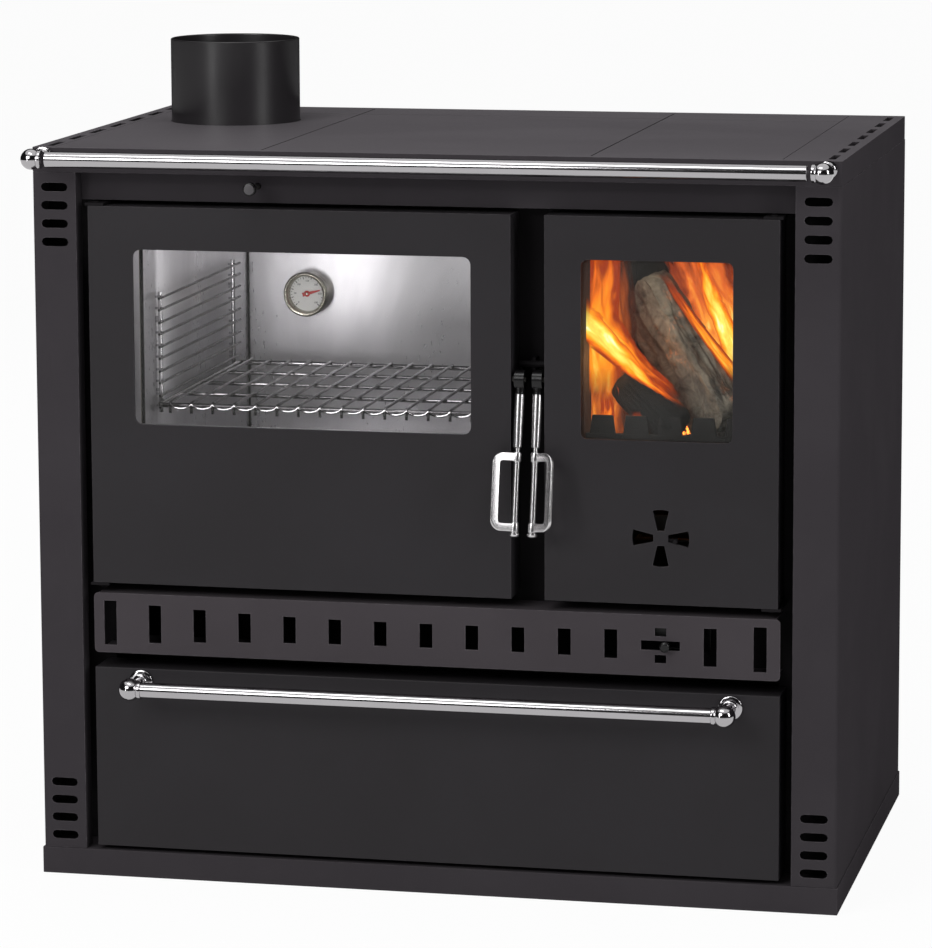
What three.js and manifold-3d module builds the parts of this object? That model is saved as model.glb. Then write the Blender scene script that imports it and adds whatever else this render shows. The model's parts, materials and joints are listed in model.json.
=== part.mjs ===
// Wood cookstove: a sheet-steel body on a plinth, with an oven on the left, a firebox on the right, a convection
// band and a wood drawer below them, a flat steel hob with a flue spigot, and chromed rail, bar and door levers.
// Millimetres, +Z up, +X to the right, +Y to the back. The origin is under the middle of the whole stove.
import * as THREE from 'three';
import { mergeVertices } from 'three/addons/utils/BufferGeometryUtils.js';
import Module from 'manifold-3d';

const wasm = await Module();
wasm.setup();

// ---------------------------------------------------------------- driving dimensions
const gap = 0.3;                  // between pieces that touch
const play = 0.3;                 // round a pin in its hole

// Body
const width = 930;                // over the side casings
const depth = 570;                // front of the casings to the back
const hobHeight = 850;            // floor to the cooking surface
const plinth = { height: 31, proud: 1.5, wall: 3, lip: 24, top: 3 };
const casing = { sheet: 2, pillar: 51.5, inReturn: 23, bend: 4, bendSteps: 3, rearFlange: 20 };
const pillarSlot = { length: 32, height: 10, pitch: 21, count: 4, inset: 10, fromTop: 17, fromBottom: 15 };
const backSlot = { width: 8, height: 46, pitch: 24, count: 13, fromTop: 60, fromBottom: 60 };

// Front, from the floor up
const drawer = { gapBelow: 5, height: 212, sheet: 2, mouthInset: 23.5, mouthRise: 8, sideClear: 8, behind: 15,
  belowTop: 18 };
const runner = { sheet: 3, foot: 18, offWeb: 1.5, ledge: 22, webRise: 30, behind: 12 };
const band = { gapBelow: 17.5, height: 70, sheet: 2.5, corner: 5, endInset: 14 };
const doorsAboveBand = 12;
const doorsBelowHob = 66;
const frame = { setBack: 54, sheet: 4, airInset: 24, airReach: 25, airClear: 14, guide: 3 };
const fascia = { setBack: 20, sheet: 2, aboveDoors: 5 };

// Doors
const door = { depth: 45, face: 3, wall: 2, glass: 4, glassLap: 20, collar: 6, liner: 2, sealWidth: 10 };
const ovenDoorWidth = 492.5;
const centreGap = 38.5;
const sideGap = 14;
const fireSideGap = 17;
const ovenWindow = { left: 52.5, right: 46, belowTop: 49, aboveFoot: 186, corner: 9 };
const fireWindow = { left: 41.5, right: 52, belowTop: 49, aboveFoot: 185.5, corner: 7 };
const hinge = { rod: 8, inFromEdge: 7.5, setBack: 8, lug: 3, lugWidth: 22 };

// Levers on the free edges of the doors
const lever = { thick: 11, fromEdge: 9, pivotSetBack: 10, belowDoorTop: 187, boss: 11, pin: 6, lean: 12 };
const nose = { from: 32.5, to: 38, armTop: 4.5, armBottom: -5, tip: 8.5 };
const keeper = { radius: 4, fromPivot: 26, abovePivot: 14, web: 4 };
const stem = { from: 16.3, to: 78, topRadius: 6, bottomRadius: 5.2 };
const loop = { from: 82, to: 172, reach: 30, bar: 10, arm: 11, corner: 12, rod: 4, turn: 45 };

// Rotary air inlet in the fire door, and the sliding one behind the band
const rosette = { aboveDoorFoot: 75.5, inner: 8.5, outer: 32.5, innerHalf: 4, outerHalf: 9.2, disc: 40, sheet: 2,
  stud: 2.5, studAt: 17, studAngle: -9, petals: 4 };
const slot = { width: 15, middle: 28, end: 52, power: 2.5, pitch: 53.4, firstIn: 19.3, leftCount: 12,
  rightPitch: 56.5, rightCount: 2 };
const cross = { tall: 13.3, stub: 9.6, wide: 44.5, high: 11, stubOff: 15.4 };
const slider = { sheet: 3, width: 90, height: 30, port: 16, portHigh: 24, stem: 3, knob: 6, rest: 6 };

// Oven and firebox
const oven = { left: 47.5, right: 35, belowDoorTop: 22, aboveDoorFoot: 82.5, behind: 61.7, sheet: 2 };
const ladder = { wire: 2, post: 2.5, postOff: 6, weld: 0.6, front: 45, rear: 90, levels: 5, pitch: 28.5, pair: 13.5,
  lowest: 110, overrun: 18, clip: 2, clipRise: 18, clipPitch: 85, crown: 6 };
const rack = { rim: 3, wire: 1.75, cross: 2.25, count: 15, crossCount: 3, front: 16, rear: 84, drop: 12, edge: 14 };
const gauge = { radius: 28, depth: 24, recess: 14, wall: 3, fromLeft: 80, belowTop: 139, stem: 3, spindle: 1.2 };
const fireMouth = { left: 33.5, right: 28.5, sill: 18.5, ashTop: 147.5, bridge: 27, grateDrop: 5 };
const firebox = { sheet: 4, brick: 25, behind: 151.7, lining: 220, liningRise: 4, ledge: 5, grate: 12, slots: 9, rim: 12 };
const ashPan = { setBack: 47, height: 64, behind: 13.3, sheet: 2, bail: 3, bailReach: 20, bailHalf: 45, side: 7 };

// Hob
const hob = { sheet: 6, rim: 28, skirt: 2.5, ledge: 12, ledgeThick: 5.7, frontLand: 12, leftLand: 25,
  rightLand: 67.3, rearLand: 14, seam: 1.2, grooveFromBack: 88 };
const fluePlateWidth = 242.5;
const middlePlateWidth = 379.5;
const flue = { outer: 78, bore: 75, height: 100, flange: 92, flangeThick: 4, fromLeft: 137, fromBack: 193 };
const rimVent = { width: 8, length: 50, pitch: 80, count: 7, inset: 15 };

// Chromed rail and drawer bar, bypass damper
const rail = { radius: 9, ball: 12, endInset: 15, standOff: 48, belowHob: 9, post: 6, rose: 9 };
const bar = { radius: 9, ball: 13, endInset: 56.5, standOff: 46, belowTop: 15, post: 7, rose: 14 };
const damper = { fromLeft: 261, belowHob: 42, knob: 7.5, knobLength: 16, reach: 38, rod: 3.5, plate: 4,
  portWidth: 120, portHeight: 50, lap: 5, baffleAt: 265, baffleFoot: 30 };

// ---------------------------------------------------------------- places worked out from them
const front = -depth / 2;
const back = depth / 2;
const half = width / 2;
const inner = half - casing.sheet;
const frontHalf = half - casing.pillar;

const drawerFoot = plinth.height + drawer.gapBelow;
const drawerTop = drawerFoot + drawer.height;
const bandFoot = drawerTop + band.gapBelow;
const bandTop = bandFoot + band.height;
const bandMiddle = (bandFoot + bandTop) / 2;
const doorFoot = bandTop + doorsAboveBand;
const doorTop = hobHeight - doorsBelowHob;
const rimFoot = hobHeight - hob.rim;
const frameFront = front + frame.setBack;
const frameBack = frameFront + frame.sheet;
const sealY = [front + door.depth + gap, frameFront - gap];

const ovenDoor = { x: [-frontHalf + sideGap, -frontHalf + sideGap + ovenDoorWidth], side: -1 };
const fireDoor = { x: [ovenDoor.x[1] + centreGap, frontHalf - fireSideGap], side: 1 };
const fireMiddle = (fireDoor.x[0] + fireDoor.x[1]) / 2;

const ovenX = [ovenDoor.x[0] + oven.left, ovenDoor.x[1] - oven.right];
const ovenZ = [doorFoot + oven.aboveDoorFoot, doorTop - oven.belowDoorTop];
const ovenY = [frameBack + gap, back - oven.behind];
const fireX = [fireDoor.x[0] + fireMouth.left, fireDoor.x[1] - fireMouth.right];
const ashZ = [doorFoot + fireMouth.sill, doorFoot + fireMouth.ashTop];
const fireZ = [ashZ[1] + fireMouth.bridge, ovenZ[1]];

const plateX = [-half + hob.leftLand, -half + hob.leftLand + fluePlateWidth,
  -half + hob.leftLand + fluePlateWidth + middlePlateWidth, half - hob.rightLand];
const plateY = [front + hob.frontLand, back - hob.rearLand];
const ledgeTop = hobHeight - hob.sheet - gap;
const ledgeFoot = ledgeTop - hob.ledgeThick;
const flueAt = [-half + flue.fromLeft, back - flue.fromBack];
const damperX = -half + damper.fromLeft;
const damperZ = hobHeight - damper.belowHob;

const pivot = { y: front + lever.pivotSetBack, z: doorTop - lever.belowDoorTop };
const degrees = Math.PI / 180;

// ---------------------------------------------------------------- shape helpers
const X = new THREE.Vector3(1, 0, 0);
const Y = new THREE.Vector3(0, 1, 0);
const Z = new THREE.Vector3(0, 0, 1);

// What a shape drawn in x, y and pushed along z turns into when it is pushed along each axis instead.
const turnTo = {
  x: new THREE.Matrix4().makeBasis(Y, Z, X),
  y: new THREE.Matrix4().makeBasis(X, Z, Y.clone().negate()),
  z: new THREE.Matrix4(),
};

function solid(geometry) {
  const bare = geometry.index ? geometry.toNonIndexed() : geometry.clone();
  for (const name of Object.keys(bare.attributes)) {
    if (name !== 'position') bare.deleteAttribute(name);
  }
  const merged = mergeVertices(bare, 1e-4);
  return new wasm.Manifold(new wasm.Mesh({
    numProp: 3,
    vertProperties: new Float32Array(merged.attributes.position.array),
    triVerts: new Uint32Array(merged.index.array),
  }));
}

const join = (...solids) => solids.reduce((whole, piece) => whole.add(piece));
const cut = (body, ...tools) => tools.reduce((rest, tool) => rest.subtract(tool), body);
const middle = ([low, high]) => (low + high) / 2;
const grow = ([low, high], by) => [low - by, high + by];
const around = (centre, reach) => [centre - reach, centre + reach];
const spread = (count, pitch) => Array.from({ length: count }, (_, i) => (i - (count - 1) / 2) * pitch);

function block(x, y, z) {
  const box = new THREE.BoxGeometry(x[1] - x[0], y[1] - y[0], z[1] - z[0]);
  return solid(box.translate(middle(x), middle(y), middle(z)));
}

// A shape pushed along an axis: seen along x it is drawn in y, z; along y in x, z; along z in x, y.
function push(shape, axis, span, curveSegments = 2) {
  const depthOfPush = span[1] - span[0];
  const body = new THREE.ExtrudeGeometry(shape, { depth: depthOfPush, bevelEnabled: false, curveSegments });
  body.applyMatrix4(turnTo[axis]);
  const start = axis === 'y' ? span[1] : span[0];
  const offset = { x: X, y: Y, z: Z }[axis].clone().multiplyScalar(start);
  return solid(body.translate(offset.x, offset.y, offset.z));
}

function rectangle(u, v, radius = 0) {
  const shape = new THREE.Shape();
  if (radius === 0) {
    return shape.moveTo(u[0], v[0]).lineTo(u[1], v[0]).lineTo(u[1], v[1]).lineTo(u[0], v[1]);
  }
  shape.absarc(u[1] - radius, v[0] + radius, radius, -Math.PI / 2, 0);
  shape.absarc(u[1] - radius, v[1] - radius, radius, 0, Math.PI / 2);
  shape.absarc(u[0] + radius, v[1] - radius, radius, Math.PI / 2, Math.PI);
  return shape.absarc(u[0] + radius, v[0] + radius, radius, Math.PI, Math.PI * 1.5);
}

const disc = (u, v, radius) => new THREE.Shape().absarc(u, v, radius, 0, Math.PI * 2);
const outline = (points) => new THREE.Shape(points.map(([u, v]) => new THREE.Vector2(u, v)));

// A round bar along an axis, through the point given by its other two coordinates.
function round(axis, radius, span, [u, v], sides = 20) {
  return push(disc(u, v, radius), axis, span, sides / 2);
}

// A hole for a round bar: the flats of its facets are at the radius, and not their corners.
const bore = (axis, radius, span, at, sides = 12) => round(axis, radius / Math.cos(Math.PI / sides), span, at, sides);

// A turned piece: its profile is a list of [radius, along], and it stands on a point and runs along an axis.
function turned(axis, profile, [u, v], sides = 24) {
  const lathe = new THREE.LatheGeometry(profile.map(([r, along]) => new THREE.Vector2(r, along)), sides);
  lathe.rotateX(Math.PI / 2);
  lathe.applyMatrix4(turnTo[axis]);
  const place = { x: [0, u, v], y: [u, 0, v], z: [u, v, 0] }[axis];
  return solid(lathe.translate(...place));
}

function ball(radius, x, y, z, sides = 16) {
  return solid(new THREE.SphereGeometry(radius, sides, sides / 2).rotateX(Math.PI / 2).translate(x, y, z));
}

// A pressed tray, open at the back: a face with four walls behind it.
function tray(x, y, z, face, wall) {
  return cut(block(x, y, z), block(grow(x, -wall), [y[0] + face, y[1] + 1], grow(z, -wall)));
}

// ---------------------------------------------------------------- finishes and assembly
const finish = (color, roughness, metalness) => new THREE.MeshStandardMaterial({ color, roughness, metalness });
const paint = finish(0x3b393b, 0.55, 0.35);
const doorPaint = finish(0x323032, 0.5, 0.35);
const hobSteel = finish(0x474547, 0.45, 0.55);
const black = finish(0x161516, 0.6, 0.2);
const chrome = finish(0xd6d6d8, 0.12, 1);
const stainless = finish(0xb4b4b6, 0.32, 1);
const iron = finish(0x2a2827, 0.85, 0.4);
const brick = finish(0xa98f74, 0.95, 0);
const glass = new THREE.MeshStandardMaterial({ color: 0xdfe8e6, roughness: 0.05, transparent: true, opacity: 0.25 });
const rope = finish(0x8e8a80, 1, 0);
const dialWhite = finish(0xf1f0ea, 0.5, 0);
const pointerRed = finish(0xb5231c, 0.5, 0);

const stove = new THREE.Group();

function part(name, body, material, parent = stove) {
  const { vertProperties, triVerts } = body.getMesh();
  const geometry = new THREE.BufferGeometry();
  geometry.setAttribute('position', new THREE.BufferAttribute(new Float32Array(vertProperties), 3));
  geometry.setIndex(new THREE.BufferAttribute(new Uint32Array(triVerts), 1));
  const mesh = new THREE.Mesh(geometry, material);
  mesh.name = name;
  parent.add(mesh);
  return mesh;
}

// ---------------------------------------------------------------- body
// An upturned tray with its edges folded in underneath: the stove stands on the folded lip.
function plinthTray() {
  const x = grow([-half, half], plinth.proud);
  const y = grow([front, back], plinth.proud);
  const hollow = block(grow(x, -plinth.wall), grow(y, -plinth.wall), [plinth.wall, plinth.height - plinth.top]);
  const mouth = block(grow(x, -plinth.lip), grow(y, -plinth.lip), [-1, plinth.wall + 1]);
  return cut(block(x, y, [0, plinth.height]), hollow, mouth);
}

// One folded sheet: the side, the front pillar with its cooling slots, the return beside the doors and a rear
// flange. side is -1 for the left and 1 for the right.
function sideCasing(side) {
  const t = casing.sheet;
  const r = casing.bend;
  const at = (x, y) => [side * x, y];
  const bend = (radius) => Array.from({ length: casing.bendSteps + 1 }, (_, i) => {
    const angle = (i * Math.PI) / 2 / casing.bendSteps;
    return at(half - r + radius * Math.cos(angle), front + r - radius * Math.sin(angle));
  });
  const section = [
    at(half - casing.rearFlange, back), at(half, back), ...bend(r),
    at(frontHalf, front), at(frontHalf, front + casing.inReturn), at(frontHalf + t, front + casing.inReturn),
    at(frontHalf + t, front + t), ...bend(r - t).reverse(), at(half - t, back - t),
    at(half - casing.rearFlange, back - t),
  ];
  const z = [plinth.height + gap, rimFoot - gap];
  const sheet = push(outline(side > 0 ? section : section.reverse()), 'z', z);
  const slotX = around(side * (half - pillarSlot.inset - pillarSlot.length / 2), pillarSlot.length / 2);
  const slots = [];
  for (let i = 0; i < pillarSlot.count; i++) {
    for (const height of [z[1] - pillarSlot.fromTop - i * pillarSlot.pitch,
      z[0] + pillarSlot.fromBottom + i * pillarSlot.pitch]) {
      const shape = rectangle(slotX, around(height, pillarSlot.height / 2), pillarSlot.height / 2 - 0.01);
      slots.push(push(shape, 'y', [front - 1, front + t + 1], 1));
    }
  }
  return cut(sheet, ...slots);
}

function backPanel() {
  const y = [back - 2 * casing.sheet - gap, back - casing.sheet - gap];
  const z = [plinth.height + gap, rimFoot - gap];
  const slots = spread(backSlot.count, backSlot.pitch).flatMap((x) => [z[0] + backSlot.fromBottom,
    z[1] - backSlot.fromTop].map((height) => {
    const z = around(height, backSlot.height / 2);
    return block(around(x, backSlot.width / 2), grow(y, 1), z);
  }));
  return cut(block([-inner + gap, inner - gap], y, z), ...slots);
}

// The steel plate behind the doors: its mouths, the lugs that carry the hinge rods, the latch keeper and the
// guides of the sliding air inlet.
function frontFrame() {
  const y = [frameFront, frameBack];
  const through = grow(y, 1);
  const plate = block([-inner + gap, inner - gap], y, [plinth.height + gap, rimFoot - gap]);
  const mouths = [
    block(ovenX, through, ovenZ),
    block(fireX, through, fireZ),
    block(fireX, through, ashZ),
    block(drawerMouthX, through, drawerMouthZ),
    block([-frontHalf + frame.airInset, fireMiddle - slider.width / 2 - frame.airClear], through,
      around(bandMiddle, frame.airReach)),
    block(portX, through, around(bandMiddle, slider.portHigh / 2)),
    bore('y', damper.rod + play, through, [damperX, damperZ]),
  ];
  const lugs = [ovenDoor, fireDoor].flatMap((leaf) => [doorTop + gap, doorFoot - hinge.lug - gap].map((foot) => {
    const eye = hingeAt(leaf);
    const lug = block(around(eye.x, hinge.lugWidth / 2), [eye.y - hinge.rod, y[0] + 1], [foot, foot + hinge.lug]);
    return cut(lug, bore('z', hinge.rod / 2 + play, [foot - 1, foot + hinge.lug + 1], [eye.x, eye.y]));
  }));
  const barAt = [pivot.y + keeper.fromPivot, pivot.z + keeper.abovePivot];
  const barX = [ovenDoor.x[1] + 3, fireDoor.x[0] - 3];
  const web = block(around(middle(barX), keeper.web / 2), [barAt[0], y[0] + 1], around(barAt[1], 7));
  const guides = [-1, 1].map((way) => {
    const edge = bandMiddle + way * (slider.height / 2 + gap);
    const z = [edge, edge + way * frame.guide].sort((a, b) => a - b);
    return block(around(fireMiddle, slider.width / 2), [y[0] - slider.sheet - gap, y[0] + 1], z);
  });
  return join(cut(plate, ...mouths), ...lugs, round('x', keeper.radius, barX, barAt, 8), web, ...guides);
}

function upperFascia() {
  const y = front + fascia.setBack;
  const x = [-frontHalf + gap, frontHalf - gap];
  const foot = doorTop + fascia.aboveDoors;
  const face = block(x, [y, y + fascia.sheet], [foot, rimFoot - gap]);
  const fold = block(x, [y, frameFront - gap], [foot, foot + fascia.sheet]);
  return cut(join(face, fold), bore('y', damper.rod + play, [y - 1, y + fascia.sheet + 1], [damperX, damperZ]));
}

// Trim in front of the convection opening. Its slots grow from the middle to the ends, and one is a cross.
function ventBand() {
  const x = [-frontHalf + band.endInset, frontHalf - band.endInset];
  const z = [bandFoot, bandTop];
  const face = push(rectangle(x, z, band.corner), 'y', [front, front + band.sheet]);
  const folds = [[z[0], z[0] + band.sheet], [z[1] - band.sheet, z[1]]].map((edge) => block(
    grow(x, -band.corner), [front, frameFront - gap], edge));
  const through = [front - 1, front + band.sheet + 1];
  const tools = slotPlaces().map((place) => {
    const share = Math.min(1, Math.abs(place) / middleToEnd());
    const high = slot.middle + (slot.end - slot.middle) * share ** slot.power;
    return block(around(place, slot.width / 2), through, around(bandMiddle, high / 2));
  });
  tools.push(block(around(fireMiddle, cross.wide / 2), through, around(bandMiddle, cross.high / 2)));
  for (const way of [-1, 1]) {
    const height = around(bandMiddle + way * cross.stubOff, cross.stub / 2);
    tools.push(block(around(fireMiddle, cross.tall / 2), through, height));
  }
  return cut(join(face, ...folds), ...tools);
}

function slotPlaces() {
  const first = -frontHalf + band.endInset + slot.firstIn;
  const left = Array.from({ length: slot.leftCount }, (_, i) => first + i * slot.pitch);
  const right = Array.from({ length: slot.rightCount }, (_, i) => fireMiddle + (i + 1) * slot.rightPitch);
  return [...left, ...right];
}

const middleToEnd = () => frontHalf - band.endInset - slot.firstIn;

// ---------------------------------------------------------------- hob
// Skirts, lands and the ledges under the loose plates, with a row of vents along each side.
function hobFrame() {
  const top = push(rectangle([-half, half], [front, back], casing.bend), 'z', [ledgeTop - 0.5, hobHeight]);
  const outer = push(rectangle([-half, half], [front, back], casing.bend), 'z', [rimFoot, hobHeight]);
  const hollow = block(grow([-half, half], -hob.skirt), grow([front, back], -hob.skirt), [rimFoot - 1, ledgeTop]);
  const well = block([plateX[0], plateX[3]], plateY, [ledgeTop, hobHeight + 1]);
  const ledge = block(grow([plateX[0], plateX[3]], 8), grow(plateY, 8), [ledgeFoot, ledgeTop + 0.1]);
  const stops = [plateX[0] + hob.ledge, ...plateX.slice(1, 3).flatMap((x) => [x - hob.ledge, x + hob.ledge]),
    plateX[3] - hob.ledge];
  const bays = [0, 2, 4].map((i) => block([stops[i], stops[i + 1]], grow(plateY, -hob.ledge),
    [rimFoot - 1, hobHeight + 1]));
  const vents = [-1, 1].flatMap((side) => spread(rimVent.count, rimVent.pitch).map((y) => {
    const x = around(side * (half - rimVent.inset), rimVent.width / 2);
    return block(x, around(y, rimVent.length / 2), [rimFoot, hobHeight + 1]);
  }));
  const shell = join(top, cut(outer, hollow));
  return cut(join(cut(shell, well), ledge), ...bays, ...vents);
}

// A loose plate of the hob, with the shallow line that runs across it near the back.
function hobPlate(x) {
  const body = block(grow(x, -hob.seam / 2), grow(plateY, -hob.seam / 2), [hobHeight - hob.sheet, hobHeight]);
  const line = back - hob.grooveFromBack;
  return cut(body, block(grow(x, 1), around(line, 1), [hobHeight - 1, hobHeight + 1]));
}

function fluePlate() {
  const hole = bore('z', flue.outer + play, [hobHeight - hob.sheet - 1, hobHeight + 1], flueAt, 40);
  return cut(hobPlate([plateX[0], plateX[1]]), hole);
}

function flueCollar() {
  const foot = ledgeTop - flue.flangeThick;
  return turned('z', [[flue.bore, foot], [flue.flange, foot], [flue.flange, ledgeTop], [flue.outer, ledgeTop],
    [flue.outer, hobHeight + flue.height], [flue.bore, hobHeight + flue.height], [flue.bore, foot]], flueAt, 40);
}

// ---------------------------------------------------------------- rail and drawer bar
const railAt = [front - rail.standOff, hobHeight - rail.belowHob];
const railEnd = half - rail.endInset;
const collarReach = 17;           // from a ball's centre to the end of its collar

function barEnd(side, end, at, size, wall) {
  const x = side * end;
  const inward = [x - side * 3, x - side * (collarReach - gap / 2)].sort((a, b) => a - b);
  const post = round('y', size.post, [at[0], wall - gap], [x, at[1]], 10);
  const rose = turned('y', [[0, gap - wall], [size.rose, gap - wall], [size.rose, gap + 3 - wall],
    [size.post, gap + 5 - wall], [0, gap + 5 - wall]], [x, at[1]], 16);
  return join(ball(size.ball, x, ...at), round('x', size.radius + 1.2, inward, at, 14), post, rose);
}

const railTube = () => round('x', rail.radius, grow([-railEnd, railEnd], -collarReach - gap / 2), railAt, 14);

const barAt = [front - bar.standOff, drawerTop - bar.belowTop];

function drawerBar() {
  const end = frontHalf - sideGap - bar.endInset;
  const tube = round('x', bar.radius, [-end, end], barAt, 14);
  return join(tube, barEnd(-1, end, barAt, bar, front), barEnd(1, end, barAt, bar, front));
}

// ---------------------------------------------------------------- doors
const hingeAt = (leaf) => ({
  x: leaf.side < 0 ? leaf.x[0] + hinge.inFromEdge : leaf.x[1] - hinge.inFromEdge,
  y: front + hinge.setBack,
});
const freeEdge = (leaf) => (leaf.side < 0 ? leaf.x[1] : leaf.x[0]);
const windowX = (leaf, size) => [leaf.x[0] + size.left, leaf.x[1] - size.right];
const windowZ = (size) => [doorFoot + size.aboveFoot, doorTop - size.belowTop];

function doorPanel(leaf, size) {
  const z = [doorFoot, doorTop];
  const eye = hingeAt(leaf);
  const edge = freeEdge(leaf);
  const shell = tray(leaf.x, [front, front + door.depth], z, door.face, door.wall);
  const pane = push(rectangle(windowX(leaf, size), windowZ(size), size.corner), 'y', [front - 1, front + door.face + 1]);
  const rodHole = bore('z', hinge.rod / 2 + play, grow(z, 1), [eye.x, eye.y]);
  const pinHole = bore('x', lever.pin / 2 + play, around(edge, door.wall + 2), [pivot.y, pivot.z]);
  return cut(shell, pane, rodHole, pinHole);
}

// The air inlet's petals, drawn round a centre and turned by an angle.
function petals(centre, turn) {
  return Array.from({ length: rosette.petals }, (_, i) => {
    const angle = turn + (i * Math.PI * 2) / rosette.petals;
    const reach = (r, side) => {
      const u = r * Math.cos(angle) - side * Math.sin(angle);
      const v = r * Math.sin(angle) + side * Math.cos(angle);
      return [centre[0] + u, centre[1] + v];
    };
    const crown = [-1, -0.5, 0, 0.5, 1].map((share) => reach(
      Math.sqrt(rosette.outer ** 2 - (share * rosette.outerHalf) ** 2), share * rosette.outerHalf));
    return outline([reach(rosette.inner, -rosette.innerHalf), ...crown, reach(rosette.inner, rosette.innerHalf)]);
  });
}

const rosetteAt = [fireMiddle, doorFoot + rosette.aboveDoorFoot];

// The fire door's panel also has the petals, and the rivet behind them that the air disc turns on.
function fireDoorPanel() {
  const holes = petals(rosetteAt, 0).map((petal) => push(petal, 'y', [front - 1, front + door.face + 1]));
  const head = front + door.face + gap + rosette.sheet + gap;
  const shank = round('y', 3, [front + door.face - 1, head + 0.5], rosetteAt, 8);
  return join(cut(doorPanel(fireDoor, fireWindow), ...holes), shank, round('y', 6, [head, head + 2], rosetteAt, 10));
}

function airRosette() {
  const y = [front + door.face + gap, front + door.face + gap + rosette.sheet];
  const angle = rosette.studAngle * degrees;
  const studAt = [rosetteAt[0] + rosette.studAt * Math.cos(angle), rosetteAt[1] + rosette.studAt * Math.sin(angle)];
  const holes = petals(rosetteAt, 0).map((petal) => push(petal, 'y', grow(y, 1)));
  const plate = cut(round('y', rosette.disc, y, rosetteAt, 16), ...holes, bore('y', 3 + play, grow(y, 1), rosetteAt, 8));
  const tab = block([rosetteAt[0] + 6, studAt[0] + 2], y, [studAt[1] - 6.5, studAt[1] + 2.4]);
  return join(plate, tab, round('y', rosette.stud, [front - 4, y[1]], studAt, 10));
}

const glassY = [front + door.face + gap, front + door.face + gap + door.glass];

const doorGlass = (leaf, size) => block(
  grow(windowX(leaf, size), door.glassLap), glassY, grow(windowZ(size), door.glassLap));

// The door's inner sheet, with a collar round the window that holds the glass against the face.
function doorLiner(leaf, size, ...extraHoles) {
  const y = [front + door.depth - door.liner, front + door.depth];
  const lip = door.wall + gap;
  const sheet = block(grow(leaf.x, -lip), y, grow([doorFoot, doorTop], -lip));
  const x = grow(windowX(leaf, size), door.collar);
  const z = grow(windowZ(size), door.collar);
  const collar = block(grow(x, door.liner), [glassY[1] + gap, y[1]], grow(z, door.liner));
  return cut(join(sheet, collar), block(x, [front, y[1] + 1], z), ...extraHoles);
}

function doorSeal(x, z) {
  const ring = rectangle(grow(x, 3 + door.sealWidth), grow(z, 3 + door.sealWidth), door.sealWidth);
  ring.holes.push(rectangle(grow(x, 3), grow(z, 3), 2));
  return push(ring, 'y', sealY, 3);
}

function hingeRod(leaf) {
  const eye = hingeAt(leaf);
  const reach = [doorFoot - hinge.lug - 2, doorTop + hinge.lug + 1.5];
  return round('z', hinge.rod / 2, reach, [eye.x, eye.y], 12);
}

// The door lever: a boss on a pin through the door's edge, with a nose that reaches back under the keeper.
const leverX = (leaf) => around(freeEdge(leaf) - leaf.side * lever.fromEdge, lever.thick / 2);

function latchLever(leaf) {
  const x = leverX(leaf);
  const at = (y, z) => [pivot.y + y, pivot.z + z];
  const arm = outline([at(0, nose.armBottom), at(nose.to, nose.armBottom), at(nose.to, nose.tip),
    at(nose.from, nose.tip), at(nose.from - 2.5, nose.armTop), at(0, nose.armTop)]);
  const boss = round('x', lever.boss, x, [pivot.y, pivot.z], 14);
  const hole = bore('x', lever.pin / 2 + play, grow(x, 1), [pivot.y, pivot.z]);
  const neck = solid(new THREE.CylinderGeometry(stem.topRadius - 0.6, stem.topRadius - 0.6, stem.from - gap, 14)
    .rotateX(Math.PI / 2).translate(0, 0, -(stem.from - gap) / 2).rotateX(-lever.lean * degrees)
    .translate(middle(x), pivot.y, pivot.z));
  return cut(join(push(arm, 'x', x), boss, neck), hole);
}

function latchPin(leaf) {
  const edge = freeEdge(leaf);
  const out = -leaf.side;
  const along = (from, to) => [edge + out * from, edge + out * to].sort((a, b) => a - b);
  const shank = round('x', lever.pin / 2, along(-door.wall - 3, lever.fromEdge + lever.thick / 2 + 0.8),
    [pivot.y, pivot.z], 10);
  return join(shank, round('x', lever.pin, along(-door.wall - 3 - gap, -door.wall - gap), [pivot.y, pivot.z], 10));
}

// The chromed grip, drawn hanging from its pivot: a tapered stem, and a rod closed into a loop by a bent bar.
function handleGrip(leaf) {
  const upright = turned('z', [[0, -loop.to - 5], [loop.rod + 2.5, -loop.to - 5], [loop.rod + 2.5, -loop.to - gap],
    [loop.rod, -loop.to], [loop.rod, -stem.to], [stem.bottomRadius, -stem.to], [stem.topRadius, -stem.from],
    [0, -stem.from]], [0, 0], 14);
  const outer = new THREE.Shape().moveTo(-loop.arm / 2, -loop.to);
  outer.absarc(loop.reach - loop.corner, -loop.to + loop.corner, loop.corner, -Math.PI / 2, 0);
  outer.absarc(loop.reach - loop.corner, -loop.from - loop.corner, loop.corner, 0, Math.PI / 2);
  outer.lineTo(-loop.arm / 2, -loop.from);
  const opening = block([-loop.arm, loop.reach - loop.bar], [-loop.bar, loop.bar],
    [-loop.to + loop.arm, -loop.from - loop.arm]);
  const strap = cut(push(outer, 'y', around(0, loop.bar / 2), 4), opening);
  const away = leaf.side < 0 ? 180 + loop.turn : -loop.turn;
  return join(upright, strap.rotate([0, 0, away]));
}

function door3(leaf, names, size, mouth, ...linerHoles) {
  const panel = leaf === fireDoor ? fireDoorPanel() : doorPanel(leaf, size);
  part(`${names}_door_panel`, panel, doorPaint);
  part(`${names}_door_glass`, doorGlass(leaf, size), glass);
  part(`${names}_door_liner`, doorLiner(leaf, size, ...linerHoles), black);
  part(`${names}_door_seal`, doorSeal(...mouth), rope);
  part(`${names}_hinge_rod`, hingeRod(leaf), hobSteel);
  part(`${names}_latch_lever`, latchLever(leaf), black);
  part(`${names}_latch_pin`, latchPin(leaf), hobSteel);
  const hanger = new THREE.Group();
  hanger.position.set(middle(leverX(leaf)), pivot.y, pivot.z);
  hanger.rotation.x = -lever.lean * degrees;
  stove.add(hanger);
  part(`${names}_handle_grip`, handleGrip(leaf), chrome, hanger);
}

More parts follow.
